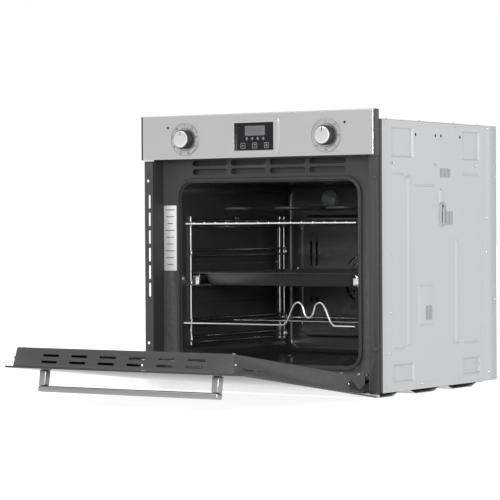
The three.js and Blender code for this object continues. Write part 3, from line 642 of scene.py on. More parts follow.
def steel_finish(name, colour, stretch, low=0.24, high=0.38, depth=0.05):
    """Brushed or plated metal; stretch gives the grain's fineness along x, y and z."""
    finish = Finish(name, colour, 0.3, 1.0)
    grain = finish.group(GRAIN, Stretch=stretch, Depth=depth)
    patches = finish.group(PATCHES, Size=6.0, Contrast=1.4)
    finish.vary("Roughness", grain.outputs["Mask"], low, high)
    finish.tint(patches.outputs["Mask"], tuple(c * 0.9 for c in colour), 0.5)
    finish.normal(grain.outputs["Normal"])
    return finish.material


def coat_finish(name, colour, low, high, metallic=0.0, *, size, depth, bare=None, **sockets):
    """A painted, moulded, enamelled or zinc-coated surface."""
    finish = Finish(name, colour, low, metallic, **sockets)
    texture = finish.group(TEXTURE, Size=size, Depth=depth)
    patches = finish.group(PATCHES, Size=7.0, Contrast=1.8)
    finish.vary("Roughness", patches.outputs["Mask"], low, high)
    finish.tint(texture.outputs["Mask"], tuple(min(1, c * 1.25) for c in colour), 0.6)
    if bare:
        wear = finish.group(WEAR, Reach=0.55, Amount=0.7)
        finish.tint(wear.outputs["Mask"], bare)
    finish.normal(texture.outputs["Normal"])
    return finish.material


def glass_finish(name, colour, roughness, transmission, **sockets):
    """Glass, clear or backed with black."""
    finish = Finish(name, colour, roughness, Transmission_Weight=transmission, IOR=1.5, **sockets)
    patches = finish.group(PATCHES, Size=14.0, Contrast=1.5)
    finish.vary("Roughness", patches.outputs["Mask"], roughness, roughness + 0.05)
    return finish.material


STAINLESS = steel_finish("stainless", (0.47, 0.47, 0.475), (5, 700, 900))
KNOB_STEEL = steel_finish("stainless cap", (0.62, 0.62, 0.63), (300, 900, 300), 0.2, 0.32)
CHROME = steel_finish("chrome", (0.62, 0.62, 0.63), (60, 60, 60), 0.12, 0.22, 0.02)
GALVANISED = coat_finish(
    "galvanised", (0.4, 0.405, 0.41), 0.42, 0.58, 0.3, size=260.0, depth=0.06, bare=(0.42, 0.425, 0.43)
)
ENAMEL = coat_finish("black enamel", (0.026, 0.026, 0.027), 0.14, 0.3, size=160.0, depth=0.05)
DARK_PAINT = coat_finish(
    "dark textured paint",
    (0.034, 0.034, 0.035),
    0.5,
    0.66,
    size=1400.0,
    depth=0.45,
    bare=(0.12, 0.12, 0.12),
    Specular_IOR_Level=0.28,
)
BLACK_PLASTIC = coat_finish("black plastic", (0.018, 0.018, 0.019), 0.35, 0.5, size=1800.0, depth=0.15)
RUBBER = coat_finish("seal rubber", (0.028, 0.028, 0.028), 0.6, 0.8, size=1200.0, depth=0.3)
WOOL = coat_finish("glass wool", (0.4, 0.38, 0.31), 0.9, 1.0, size=420.0, depth=1.0)
HEATER = coat_finish("heater sheath", (0.03, 0.029, 0.028), 0.4, 0.6, 0.3, size=600.0, depth=0.15)
LABEL = coat_finish("plate", (0.66, 0.66, 0.66), 0.35, 0.5, 0.4, size=900.0, depth=0.05)
PRINT = coat_finish("pale print", (0.26, 0.27, 0.28), 0.4, 0.5, size=900.0, depth=0.02)
DARK_PRINT = coat_finish("dark print", (0.05, 0.05, 0.05), 0.4, 0.5, size=900.0, depth=0.02)
DISPLAY = coat_finish("display", (0.085, 0.088, 0.092), 0.2, 0.3, size=500.0, depth=0.02)
MIRROR_GLASS = glass_finish("door glass", (0.02, 0.021, 0.022), 0.02, 0.0)
CLEAR_GLASS = glass_finish("clear glass", (0.75, 0.8, 0.79), 0.03, 0.85)
DARK_GLASS = glass_finish("dark glass", (0.006, 0.006, 0.007), 0.08, 0.0, Specular_IOR_Level=0.2)
DIAL_STEEL = steel_finish("etched steel", (0.4, 0.4, 0.405), (400, 900, 400), 0.3, 0.4)
HANDLE_STEEL = steel_finish("handle steel", (0.3, 0.3, 0.305), (5, 700, 900), 0.26, 0.36)
# a darker copy of the galvanised finish for the hinges: painted shade of the hinge recess
HINGE_SHADE_STEEL = coat_finish("hinge steel painted shade", (0.1, 0.1, 0.102), 0.35, 0.5, 0.6, size=600.0, depth=0.1)
# a lighter metal than the tray's black enamel, for its rolled rim: a painted highlight along the rim
RIM_HIGHLIGHT_STEEL = steel_finish("tray rim painted highlight", (0.16, 0.16, 0.165), (60, 60, 60), 0.25, 0.35, 0.02)

# ---- control panel --------------------------------------------------------------------------

KNOB_PLACES = {name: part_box("dial_ring_" + name) for name, _ in SIDES}
DIAL_FACE = -1.6  # depth of the dial ring's face
PRINT_THICKNESS = 0.12


def washer(name, inner, outer, thickness, place, axis, soft=0.0):
    """A flat ring whose back is at place, facing along an axis."""
    deselect()
    bpy.ops.mesh.primitive_circle_add(vertices=64, radius=inner * MM, fill_type="NOTHING")
    piece = bpy.context.object
    bpy.ops.object.mode_set(mode="EDIT")
    bpy.ops.mesh.select_all(action="SELECT")
    bpy.ops.mesh.extrude_edges_move()
    bpy.ops.transform.resize(value=(outer / inner,) * 3, center_override=(0, 0, 0))
    bpy.ops.mesh.select_all(action="SELECT")
    bpy.ops.mesh.extrude_region_move(TRANSFORM_OT_translate={"value": (0, 0, thickness * MM)})
    bpy.ops.mesh.select_all(action="SELECT")
    bpy.ops.mesh.normals_make_consistent(inside=False)
    bpy.ops.object.mode_set(mode="OBJECT")
    piece.rotation_euler = TURN_TO[axis]
    piece.location = place
    done(piece, name)
    return soften(piece, soft) if soft else smooth(piece)


def printed_bar(x, height, width, tall, depth, turn=0.0):
    """A thin printed bar on a face that looks forward, turned clockwise by an angle."""
    thin = PRINT_THICKNESS / 2
    bar = block("bar", mm(-width / 2, -thin, -tall / 2), mm(width / 2, thin, tall / 2))
    bar.matrix_world = Matrix.Translation(at(x, depth - thin, height)) @ Matrix.Rotation(turn, 4, "Y")
    return done(bar, "bar")


def printed_number(text, x, height, size, depth):
    """A thin printed number on a face that looks forward."""
    deselect()
    bpy.ops.object.text_add()
    piece = bpy.context.object
    piece.data.body = text
    piece.data.size = size * MM
    piece.data.align_x = "CENTER"
    piece.data.align_y = "CENTER"
    piece.data.extrude = PRINT_THICKNESS / 2 * MM
    take(piece)
    bpy.ops.object.convert(target="MESH")
    piece = bpy.context.object
    piece.rotation_euler = TURN_TO["-Y"]
    piece.location = at(x, depth, height)
    return done(piece, "number")


def control_panel():
    """The folded panel with its openings, its end caps and the two indicator lamps."""
    low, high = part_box("control_panel")
    shell = block("shell", low, high)
    edit(shell, "FACE")
    choose(shell, "FACE", lambda middle, normal: normal.y > ALONG)
    bpy.ops.mesh.delete(type="FACE")
    done(shell, "shell")
    soften(shell, 2.4, 4)
    thicken(shell, 1.3, even=True)
    window_low, window_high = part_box("timer_bezel")
    inset = mm(8.5, 0, 4.5)
    tools = [block("tool", window_low + inset - mm(0, 9, 0), window_high - inset - mm(0, 4, 0))]
    for name, _ in SIDES:
        centre = sum(KNOB_PLACES[name], Vector()) / 2
        tools.append(turned("tool", [(5, -6), (5, 6)], centre, "-Y", 24))
        centre = sum(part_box("indicator_" + name), Vector()) / 2
        tools.append(turned("tool", [(2.8, -6), (2.8, 6)], centre, "-Y", 24))
    fit_out(level(done(cut(shell, *tools), "panel_face")), STAINLESS, "stainless", "control_panel")
    for name, _ in SIDES:
        cap = refined("panel_end_cap_" + name, 0.8, 3)
        fit_out(cap, BLACK_PLASTIC, "black_plastic", "panel_end_cap_" + name)
        node = "indicator_" + name
        low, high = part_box(node)
        place = Vector(((low.x + high.x) / 2, FRONT, (low.z + high.z) / 2))
        profile = [(2.5, -6), (2.5, 0.2), (2.1, 0.9), (1.2, 1.4), (0.3, 1.5)]
        fit_out(turned(node + "_lens", profile, place, "-Y", 24), DARK_GLASS, "dark_glass", node)


def timer():
    """The clock: its bezel, window and screen, a row of symbols and three framed keys."""
    bezel = refined("timer_bezel", 1.2, 4)
    fit_out(bezel, STAINLESS, "stainless", "timer_bezel")
    low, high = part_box("timer_window")
    middle = (low.z + high.z) / 2
    size = ((high.x - low.x) / MM, (high.z - low.z) / MM, 2)
    pane = slab("timer_glass", size, Vector((0, low.y, middle)), 1)
    fit_out(pane, DARK_GLASS, "dark_glass", "timer_window")
    screen_low, screen_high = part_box("timer_display")
    screen = block("timer_screen", screen_low, screen_high, 0.2)
    fit_out(screen, DISPLAY, "display", "timer_display")
    face = 3.9  # depth of the prints on the window
    line = 0.9  # width of a symbol's line
    marks = []
    icons_at = middle / MM - 4.5
    for x in (-21, -7, 7, 21):
        for rise, width in ((0, 6), (2.4, 4), (-2.4, 3)):
            marks.append(printed_bar(x, icons_at + rise, width, line, face))
        marks.append(printed_bar(x, icons_at, line, 5, face))
    keys_at = middle / MM - 19
    key, edge, stroke = 5.4, 0.7, 5.5  # half a key, the width of its frame, the length of its sign
    minus, clock, plus = -31, -1, 29
    for x in (minus, clock, plus):
        for side in (-1, 1):
            marks.append(printed_bar(x + side * key, keys_at, edge, 11.5, face))
            marks.append(printed_bar(x, keys_at + side * key, 11.5, edge, face))
    for x in (minus, plus):
        marks.append(printed_bar(x, keys_at, stroke, line, face))
    for x in (clock, plus):
        marks.append(printed_bar(x, keys_at, line, stroke, face))
    marks.append(printed_bar(clock, keys_at + 2.4, 5, line, face))
    fit_out(join("timer_symbols", marks), PRINT, "display", body="oven_body")
    fit_digits(screen_low, screen_high)


def fit_digits(low, high):
    """Faint unlit segments of the clock display: four digits and a colon."""
    face = (low.y - FRONT) / MM
    middle = (low.z + high.z) / 2 / MM
    wide, tall, thin = 4.4, 4.6, 0.6  # a digit's width, half its height, a segment's width
    marks = []
    for x in (-16, -7.5, 4.5, 13):
        for side in (-1, 1):
            for half in (1, -1):
                place = x + side * wide / 2, middle + half * tall / 2
                marks.append(printed_bar(*place, thin, tall - 1, face))
        for step in (-1, 0, 1):
            marks.append(printed_bar(x, middle + step * tall, wide - 1, thin, face))
    for step in (-1, 1):
        marks.append(printed_bar(-1.5, middle + step * 2, 0.8, 0.8, face))
    fit_out(join("timer_digits", marks), DARK_PRINT, "display", body="oven_body")


def dial_marks(name, centre):
    """Ticks all round; the thermostat's dial has numbers, the selector's has plain symbols."""
    x0, z0 = centre.x / MM, centre.z / MM
    face = DIAL_FACE
    tick_ring, sign_ring = 25.6, 31
    line = 0.9
    marks = []

    def dot():
        x, z, _ = around(sign_ring, 0)
        marks.append(washer("dot", 0.9, 1.5, 0.1, at(x, face, z), "-Y"))

    def around(radius, degrees):
        angle = math.radians(degrees)
        return x0 + radius * math.sin(angle), z0 + radius * math.cos(angle), angle

    if name == "right":
        step, full_turn = 45, 270  # degrees from number to number, and from end to end
        for degrees in range(0, full_turn + 1, step // 3):
            x, z, angle = around(tick_ring, degrees)
            marks.append(printed_bar(x, z, 0.8, 1.8 if degrees % step else 3, face, angle))
        for number in range(50, 251, 50):
            x, z, _ = around(sign_ring, number / 50 * step)
            marks.append(printed_number(str(number), x, z, 5.4, face - PRINT_THICKNESS / 2))
        dot()
    else:
        choices = 9
        dot()
        for number in range(choices):
            x, z, angle = around(tick_ring, number * 360 / choices)
            marks.append(printed_bar(x, z, 0.8, 2, face, angle))
        for number in range(1, choices):
            x, z, _ = around(sign_ring, number * 360 / choices)
            marks.append(printed_bar(x, z, 6, line, face))
            if number % 2:
                marks.append(printed_bar(x, z + 2.6, 6, line, face))
            else:
                marks.append(printed_bar(x, z, line, 5, face))
            if number % 3:
                marks.append(printed_bar(x, z - 2.6, 6, line, face))
            else:
                marks.append(printed_bar(x, z, 5, line, face, 0.8))
    for radius in (24, 35):
        marks.append(washer("line", radius, radius + 0.4, 0.1, at(x0, face, z0), "-Y"))
    fit_out(join("dial_marks_" + name, marks), DARK_PRINT, "stainless", body="oven_body")


def knobs():
    """Both knobs: the dial behind, the black grip, the steel cap and its pointer."""
    for name, _ in SIDES:
        low, high = KNOB_PLACES[name]
        centre = Vector(((low.x + high.x) / 2, FRONT, (low.z + high.z) / 2))
        body = NODES["knob_" + name]["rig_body"]
        ring = washer("dial_" + name, 23, 36, 1.3, centre - mm(0, 0.3, 0), "-Y", 0.3)
        fit_out(ring, DIAL_STEEL, "stainless", "dial_ring_" + name)
        dial_marks(name, centre)
        shaft = [(3.9, -24), (3.9, 1.2)]
        skirt = [(20.4, 1.2), (21, 1.9), (20.9, 6), (20.3, 13.6), (19.7, 14.4), (18, 14.4)]
        grip = turned("knob_grip_" + name, shaft + skirt, centre, "-Y", 72)
        fit_out(grip, BLACK_PLASTIC, "black_plastic", "knob_" + name)
        crown = [(17.4, 14.2), (18.2, 14.8), (18.2, 16.4), (17.8, 17.2), (16.8, 17.7), (12, 17.9), (5, 18)]
        cap = turned("knob_cap_" + name, crown, centre, "-Y", 72)
        fit_out(cap, KNOB_STEEL, "stainless", body=body)
        pointer = printed_bar(centre.x / MM, centre.z / MM + 12.2, 2, 8.6, -17.9)
        fit_out(done(pointer, "knob_pointer_" + name), BLACK_PLASTIC, "black_plastic", body=body)


# ---- front of the body ----------------------------------------------------------------------


def front_of_body():
    """The dark frame and its flanges, with their bumpers, screws, seal and plate."""
    fit_out(level(refined("front_frame", 0.5)), DARK_PAINT, "dark_paint", "front_frame")
    for name, _ in SIDES:
        node = "mounting_flange_" + name
        fit_out(refined(node, 0.4), DARK_PAINT, "dark_paint", node)
    flange_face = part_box("mounting_flange_right")[0].y
    profile = [(2.6, -3), (2.6, 0), (5.4, 0.05), (5.6, 1.2), (4.6, 2), (2.8, 2.2)]
    plugs = []
    for height in (103, 458):
        plugs.append(turned("plug", profile, Vector((0.2885, flange_face, height * MM)), "-Y", 32))
    fit_out(join("flange_bumpers", plugs), RUBBER, "door_seal", body="oven_body")
    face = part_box("front_frame")[0].y
    places = []
    for _, side in reversed(SIDES):
        for x, z in ((224.6, 47), (219.8, 62.8)):
            places.append(Vector((side * x * MM, face, z * MM)))
    fit_out(screws("frame_screws", places, "front", 2.8), CHROME, "chrome", body="oven_body")
    # dark sheets behind the vents: painted shade inside them
    air_guides()
    door_seal()
    rating_plate()


def air_guides():
    """Dark slanted sheets just behind the two rows of vents: painted shade that keeps the vents dark."""
    half = mm(204, 0.5, 9)
    depth, tilt = 63.2, math.radians(-8)
    shade_sheets = []
    for height in (493, 476):
        shade_sheet = block("shade_sheet", -half, half)
        shade_sheet.matrix_world = Matrix.Translation(at(0, depth, height)) @ Matrix.Rotation(tilt, 4, "X")
        shade_sheets.append(done(shade_sheet, "shade_sheet"))
    # black sheets standing for the shade behind the vents
    fit_out(join("air_guides", shade_sheets), BLACK_PLASTIC, "dark_paint", body="oven_body")


def door_seal():
    """The soft roll around the cavity's mouth, with a thinner lip in front of it."""
    low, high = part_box("door_seal")
    y = (low.y + high.y) / 2
    corner = 40

    def loop(inset, depth, radius, name):
        a, b = low.x + inset * MM, high.x - inset * MM
        c, d = low.z + inset * MM, high.z - inset * MM
        middle = (a + b) / 2
        corners = [(middle, c), (b, c), (b, d), (a, d), (a, c), (middle, c)]
        points = [Vector((x, depth, z)) for x, z in corners]
        path = rounded(points, (corner - inset) * MM, 8)[:-1]
        return wire(name, path, radius, closed=True)

    roll = loop(4, y + 0.8 * MM, 3.8, "roll")
    lip = loop(5.5, low.y + 1.6 * MM, 1.5, "lip")
    fit_out(join("door_gasket", [roll, lip]), RUBBER, "door_seal", "door_seal")


def rating_plate():
    """The blank plate on the left of the frame, with plain rules."""
    low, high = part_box("rating_plate")
    middle = (low + high) / 2
    size = ((high.x - low.x) / MM, (high.z - low.z) / MM, 0.6)
    blank = slab("blank_plate", size, Vector((middle.x, low.y, middle.z)), 2, 0.15)
    fit_out(blank, LABEL, "label", "rating_plate")
    face = (low.y - FRONT) / MM
    rules = []
    first, step = middle.z / MM + 62, 15
    for row in range(9):
        width = 26 - 5 * (row % 3)
        rules.append(printed_bar(middle.x / MM, first - step * row, width, 1.6, face))
    fit_out(join("plate_rules", rules), DARK_PRINT, "label", body="oven_body")


# ---- cavity -----------------------------------------------------------------------------------

CAVITY_LOW, CAVITY_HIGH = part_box("cavity_liner")
CAVITY_HALF = CAVITY_HIGH.x - SHEET
FLOOR = CAVITY_LOW.z + SHEET
ROOF = CAVITY_HIGH.z - SHEET
WALL = CAVITY_HIGH.y - SHEET  # the back wall's face
MOUTH = CAVITY_LOW.y


def cavity():
    """The enamelled box: a ring with round corners drawn back in steps and closed behind."""
    middle = (FLOOR + ROOF) / 2
    liner = plate("liner", 2 * CAVITY_HALF / MM, (ROOF - FLOOR) / MM, 30, 8)
    liner.location = (0, MOUTH, middle)
    done(liner, "liner")
    edit(liner, "FACE")
    bpy.ops.mesh.select_all(action="SELECT")
    bpy.ops.mesh.delete(type="ONLY_FACE")
    bpy.ops.mesh.select_mode(type="EDGE")
    for share in (0.06, 0.34, 0.34, 0.2, 0.06):
        choose_last_ring(liner)
        step = (WALL - MOUTH) * share
        bpy.ops.mesh.extrude_edges_move(TRANSFORM_OT_translate={"value": (0, step, 0)})
    choose_last_ring(liner)
    bpy.ops.mesh.edge_face_add()
    bpy.ops.mesh.select_all(action="SELECT")
    bpy.ops.mesh.normals_make_consistent(inside=True)
    choose(liner, "EDGE", lambda middle, along: middle.y > WALL - 0.5 * MM)
    bpy.ops.mesh.bevel(offset=12 * MM, segments=5)
    press_walls(liner)
    done(liner, "liner")
    thicken(liner, SHEET / MM)
    fit_out(level(done(liner, "cavity_wall")), ENAMEL, "black_enamel", "cavity_liner")


def choose_last_ring(piece):
    """In edit mode, selects the ring of edges that lies deepest."""
    bpy.ops.object.mode_set(mode="OBJECT")
    deepest = max(vertex.co.y for vertex in piece.data.vertices)
    bpy.ops.object.mode_set(mode="EDIT")
    close = 0.1 * MM
    choose(piece, "EDGE", lambda middle, along: middle.y > deepest - close and abs(along.y) < close)


def press_walls(liner):
    """A shallow tray pressed in the floor, and a panel with two long beads in each side wall."""
    bpy.ops.object.mode_set(mode="OBJECT")
    edit(liner)
    bottom, top = 0.09, 0.396
    bead_heights = (0.187, 0.197, 0.272, 0.282)
    floor_half = 0.15
    for x in (-floor_half, floor_half):
        bpy.ops.mesh.select_all(action="SELECT")
        bpy.ops.mesh.bisect(plane_co=(x, 0, 0), plane_no=(1, 0, 0))
    for z in (bottom, *bead_heights, top):
        bpy.ops.mesh.select_all(action="SELECT")
        bpy.ops.mesh.bisect(plane_co=(0, 0, z), plane_no=(0, 0, 1))
    front, back = MOUTH + 26 * MM, WALL - 32 * MM
    for y in (front, back):
        bpy.ops.mesh.select_all(action="SELECT")
        bpy.ops.mesh.bisect(plane_co=(0, y, 0), plane_no=(0, 1, 0))

    def floor(middle, normal):
        return normal.z > ALONG and abs(middle.x) < floor_half and front < middle.y < back

    choose(liner, "FACE", floor)
    for slope, rise in ((6, -2.2), (30, 0), (5, 1.5)):
        bpy.ops.mesh.inset(thickness=slope * MM, depth=rise * MM)
    for side in (-1, 1):

        def wall(middle, normal):
            upright = side * normal.x < -ALONG and bottom < middle.z < top
            return upright and front < middle.y < back

        choose(liner, "FACE", wall)
        bpy.ops.mesh.inset(thickness=5 * MM, depth=1.2 * MM)
        for low, high in zip(bead_heights[::2], bead_heights[1::2]):
            choose(liner, "FACE", lambda middle, normal: wall(middle, normal) and low < middle.z < high)
            bpy.ops.mesh.inset(thickness=3 * MM, depth=-1 * MM)


def fan_cover():
    """The pressed sheet in front of the fan, with rings of arc slots and two groups of louvres."""
    low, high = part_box("fan_baffle")
    fan = sum(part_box("convection_fan"), Vector()) / 2
    width, height = (high.x - low.x) / MM, (high.z - low.z) / MM
    middle = (low.z + high.z) / 2
    cover = plate("cover", width, height, 25, 8)
    cover.location = (0, high.y, middle)
    done(cover, "cover")
    edit(cover, "FACE")
    bpy.ops.mesh.select_all(action="SELECT")
    bpy.ops.mesh.extrude_region_move(TRANSFORM_OT_translate={"value": (0, low.y - high.y, 0)})
    bpy.ops.transform.resize(value=(0.965, 1, 0.955), center_override=(0, low.y, middle))
    bpy.ops.mesh.inset(thickness=8 * MM, depth=0)
    bpy.ops.mesh.inset(thickness=3 * MM, depth=-1.2 * MM)
    done(cover, "cover")
    soften(cover, 1.6, 3, 20)
    thicken(cover, SHEET / MM)
    tools = []
    bridge = math.radians(24)  # left between two slots of a ring
    for radius in (30, 44, 58):
        for quarter in range(4):
            start = math.pi / 2 * quarter + bridge / 2
            tools.append(arc_tool(fan, radius, low.y, start, math.pi / 2 - bridge))
    for x in (-150, -135, 135, 150):
        for rise, tall in ((59, 57), (-49, 14)):
            centre = Vector((x * MM, low.y, fan.z + rise * MM))
            half = mm(3, 8, tall / 2)
            tools.append(block("tool", centre - half, centre + half, 1.6, 3))
    cut(cover, join("tools", tools))
    fit_out(level(done(cover, "fan_cover")), ENAMEL, "black_enamel", "fan_baffle")
    places = []
    for x in (-176, 176):
        for z in (-110, 15, 110):
            places.append(Vector((x * MM, low.y + SHEET, middle + z * MM)))
    places += [Vector((x * MM, WALL, 258.5 * MM)) for x in (-202, 202)]
    fit_out(screws("fan_cover_screws", places, "front", 3.2), CHROME, "chrome", body="oven_body")


def arc_tool(centre, radius, depth, start, span):
    """A curved block for cutting an arc slot about the fan's shaft."""
    half = mm(3, 8, 0.2)
    place = Vector((centre.x + radius * MM, depth, centre.z))
    tool = block("tool", place - half, place + half)
    edit(tool, "FACE")
    choose(tool, "FACE", lambda middle, normal: normal.z < ALONG)
    bpy.ops.mesh.delete(type="FACE")
    bpy.ops.mesh.select_all(action="SELECT")
    bpy.ops.mesh.spin(steps=14, angle=span, center=(centre.x, depth, centre.z), axis=(0, 1, 0))
    bpy.ops.mesh.select_all(action="SELECT")
    bpy.ops.mesh.remove_doubles(threshold=MERGE)
    bpy.ops.mesh.normals_make_consistent(inside=False)
    done(tool, "tool")
    turn = Matrix.Translation(Vector((centre.x, 0, centre.z))) @ Matrix.Rotation(start, 4, "Y")
    tool.matrix_world = turn @ Matrix.Translation(Vector((-centre.x, 0, -centre.z)))
    return done(tool, "tool")


def heaters_and_lamp():
    """The grill element with its six legs, the other two elements, and the lamp's cover."""
    low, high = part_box("grill_heater")
    z = (low.z + high.z) / 2
    tube = 3.5 * MM
    half = high.x - tube
    front, back = low.y + tube, low.y + 321.5 * MM
    last = 5
    corners = []
    for number in range(last + 1):
        x = -half + 2 * half * number / last
        start = high.y if number == 0 else back
        end = high.y if number == last else back
        leg = [(x, start, z), (x, front, z)] if number % 2 == 0 else [(x, front, z), (x, end, z)]
        corners.extend(leg)
    path = rounded(corners, half / last - 0.2 * MM, 10)
    fit_out(wire("grill_element", path, 3.4, detail=4), HEATER, "heater_tube", "grill_heater")
    for node in ("ring_heater", "base_heater"):
        keep_node(node, HEATER)
    low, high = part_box("lamp_lens")
    place = Vector(((low.x + high.x) / 2, high.y, (low.z + high.z) / 2))
    profile = [(22, 0), (22, 2.5), (20.5, 5.5), (17.5, 8.2), (13, 10), (7, 10.9), (2, 11)]
    dome = turned("lamp_glass", profile, place, "-Y", 48)
    fit_out(dome, CLEAR_GLASS, "clear_glass", "lamp_lens")
    collar = washer("lamp_collar", 22.3, 25.5, 2.4, place, "-Y", 0.6)
    fit_out(collar, ENAMEL, "black_enamel", body="oven_body")


RAIL_HEIGHTS = (102.5, 141, 227, 293, 358)
RAIL_GAP = 13  # between the two wires of one rail
RACK_SCREWS = ((262.8, 376), (275, 376), (264.4, 101), (90, 376), (90, 101), (446, 376), (446, 101))


def side_racks():
    """The wire ladders: long loops as rails, held by three posts, and the screws behind them."""
    for name, side in SIDES:
        node = "side_rack_" + name
        low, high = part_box(node)
        rail_x = side * (CAVITY_HALF - 7 * MM)
        post_x = side * (CAVITY_HALF - 3.2 * MM)
        front, back = low.y + 2 * MM, high.y - 2 * MM
        middle = (front + back) / 2
        wires = []
        for height in RAIL_HEIGHTS:
            a, b = height * MM, (height + RAIL_GAP) * MM
            loop = [(middle, a), (back, a), (back, b), (front, b), (front, a), (middle, a)]
            points = [Vector((rail_x, y, z)) for y, z in loop]
            wires.append(wire("rail", rounded(points, 6.2 * MM, 6)[:-1], 2.5, closed=True))
        for y in (low.y + 5 * MM, high.y - 23 * MM, high.y - 5 * MM):
            ends = [Vector((post_x, y, low.z)), Vector((post_x, y, high.z))]
            wires.append(wire("post", ends, 2.6))
        fit_out(join("rack_" + name, wires), CHROME, "chrome", node)
        places = [at(side * CAVITY_HALF / MM, y, z) for y, z in RACK_SCREWS]
        facing = "left" if side > 0 else "right"
        fit_out(screws("rack_screws_" + name, places, facing, 3.6), CHROME, "chrome", body="oven_body")


def wire_shelf():
    """A frame with three cross bars and fifteen thin wires, each hooked over the front bar."""
    low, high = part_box("wire_shelf")
    z = low.z + 3 * MM
    x = high.x - 3 * MM
    side = high.x - 4 * MM
    front, back = low.y + 3 * MM, high.y - 4 * MM
    middle = (front + back) / 2
    corners = [(-side, front), (-side, back), (side, back), (side, front)]
    around = rounded([Vector((a, b, z)) for a, b in corners], 12 * MM, 6)
    wires = [wire("frame", around, 2.6, detail=4)]
    reach = high.x - 1 * MM
    wires.append(straight("front_bar", (-reach, front, z), (reach, front, z), 2.7, 4))
    for y in (middle - 0.11, middle, middle + 0.11):
        wires.append(straight("bar", (-x, y, z), (x, y, z), 2.2))
    pitch = 27.9 * MM
    run = z + 1.6 * MM
    bump = z + 4.2 * MM
    profile = [
        (front - 2.4 * MM, z),
        (front - 2.4 * MM, bump),
        (front + 5 * MM, bump),
        (front + 11 * MM, run),
        (back + 2.8 * MM, run),
        (back + 2.8 * MM, z - 0.4 * MM),
    ]
    for number in range(-7, 8):
        points = [(number * pitch, depth, height) for depth, height in profile]
        wires.append(wire("thin", rounded(points, 2.4 * MM, 4), 1.35, detail=2))
    fit_out(join("shelf_wires", wires), CHROME, "chrome", "wire_shelf")


# One hump of the cradle from its middle outwards: share of its half width, share of its height.
HUMP = (
    (0, 0.34),
    (0.13, 0.43),
    (0.2, 0.64),
    (0.28, 0.9),
    (0.45, 1),
    (0.6, 0.87),
    (0.72, 0.58),
    (0.86, 0.2),
    (1, 0),
)


def spit_cradle():
    """The lower frame, whose front wire rises into a cradle with two humps."""
    low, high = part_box("spit_cradle")
    thick = 2.6 * MM
    z = low.z + thick
    x = high.x - thick
    front, back = low.y + thick, high.y - 4.5 * MM
    rise = high.z - z - thick
    centre, half = 0.105, 0.0625
    left = [(centre - a * half, z + b * rise) for a, b in reversed(HUMP)]
    right = [(centre + a * half, z + b * rise) for a, b in HUMP[1:]]
    knots = [Vector((a, front, b)) for a, b in left + right]
    humps = curved(knots, 6)
    ring = [(-x, front, z), (-x, back, z), (x, back, z), (x, front, z)]
    around = wire("frame", rounded([Vector(place) for place in ring], 12 * MM, 6), 2.4, detail=4)
    front_line = [Vector((low.x + 1 * MM, front, z)), *humps, Vector((high.x - 1 * MM, front, z))]
    front_wire = wire("front_wire", front_line, 2.4, detail=4)
    cross = straight("bar", (-x, (front + back) / 2, z), (x, (front + back) / 2, z), 2.2)
    fit_out(join("cradle_wires", [around, front_wire, cross]), CHROME, "chrome", "spit_cradle")


def curved(knots, steps):
    """A smooth line through knots (Catmull-Rom)."""
    ends = [knots[0] * 2 - knots[1], *knots, knots[-1] * 2 - knots[-2]]
    line = []
    for p0, p1, p2, p3 in zip(ends, ends[1:], ends[2:], ends[3:]):
        for i in range(steps):
            t = i / steps
            bend = 2 * p0 - 5 * p1 + 4 * p2 - p3
            line.append(0.5 * (2 * p1 + (p2 - p0) * t + bend * t * t + (3 * p1 - p0 - 3 * p2 + p3) * t**3))
    line.append(knots[-1])
    return line


# The tray's inside, from its rim down: share of the basin's depth, distance in from the edge.
BASIN = ((0, 20), (0.12, 21), (0.7, 26), (0.96, 31), (1, 36), (1, 62), (0.92, 66))


def tray_and_runners():
    """The pressed tray with its rolled rim, and the runners that carry it."""
    low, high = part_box("baking_tray")
    length = (high.y - low.y) / MM
    width = (high.x - low.x) / MM
    middle = (low.y + high.y) / 2
    tray = plate("tray", width, length, 16, 8)
    tray.rotation_euler = (-math.pi / 2, 0, 0)
    tray.location = (0, middle, high.z)
    done(tray, "tray")
    edit(tray, "FACE")
    bpy.ops.mesh.select_all(action="SELECT")
    bpy.ops.mesh.normals_make_consistent(inside=False)
    for rise in (-2.2, 2.2):
        bpy.ops.mesh.inset(thickness=1.5 * MM, depth=rise * MM)
    basin = low.z - high.z + SHEET
    for fall, reach in BASIN:
        bpy.ops.mesh.extrude_region_move()
        bpy.ops.object.mode_set(mode="OBJECT")
        chosen = [vertex for vertex in tray.data.vertices if vertex.select]
        reached = max(vertex.co.x for vertex in chosen)
        depth = chosen[0].co.z
        bpy.ops.object.mode_set(mode="EDIT")
        half = width / 2 * MM
        ratio = (half - reach * MM) / reached
        ratio_y = (length / 2 - reach) / (length / 2 - (half - reached) / MM)
        bpy.ops.transform.resize(value=(ratio, ratio_y, 1), center_override=(0, middle, 0))
        bpy.ops.transform.translate(value=(0, 0, high.z + basin * fall - depth))
    done(tray, "tray")
    thicken(tray, 1.1)
    bead = 1.6 * MM
    half, front, back = high.x - bead, low.y + bead, high.y - bead
    ring = [(0, front), (half, front), (half, back), (-half, back), (-half, front), (0, front)]
    roll = rounded([Vector((a, b, high.z - bead)) for a, b in ring], 14.5 * MM, 6)[:-1]
    # the enamelled rim takes a lighter steel: painted highlight along the tray's edge
    rim = wire("tray_rim", roll, bead / MM, closed=True)
    fit_out(rim, RIM_HIGHLIGHT_STEEL, "black_enamel", body=NODES["baking_tray"]["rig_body"])
    fit_out(smooth(done(tray, "tray_pan")), ENAMEL, "black_enamel", "baking_tray")
    for name, _ in SIDES:
        rail, slide = "runner_rail_" + name, "runner_slide_" + name
        fit_out(refined(rail, 0.4), GALVANISED, "galvanised", rail)
        fit_out(refined(slide, 0.8), CHROME, "chrome", slide)


# ---- casing -----------------------------------------------------------------------------------


def vents(u0, v0, v1, count, pitch=6, gap=2.8):
    """Narrow upright slots side by side, for pressed_sheet."""
    return [(u0 + pitch * i, v0, u0 + pitch * i + gap, v1) for i in range(count)]


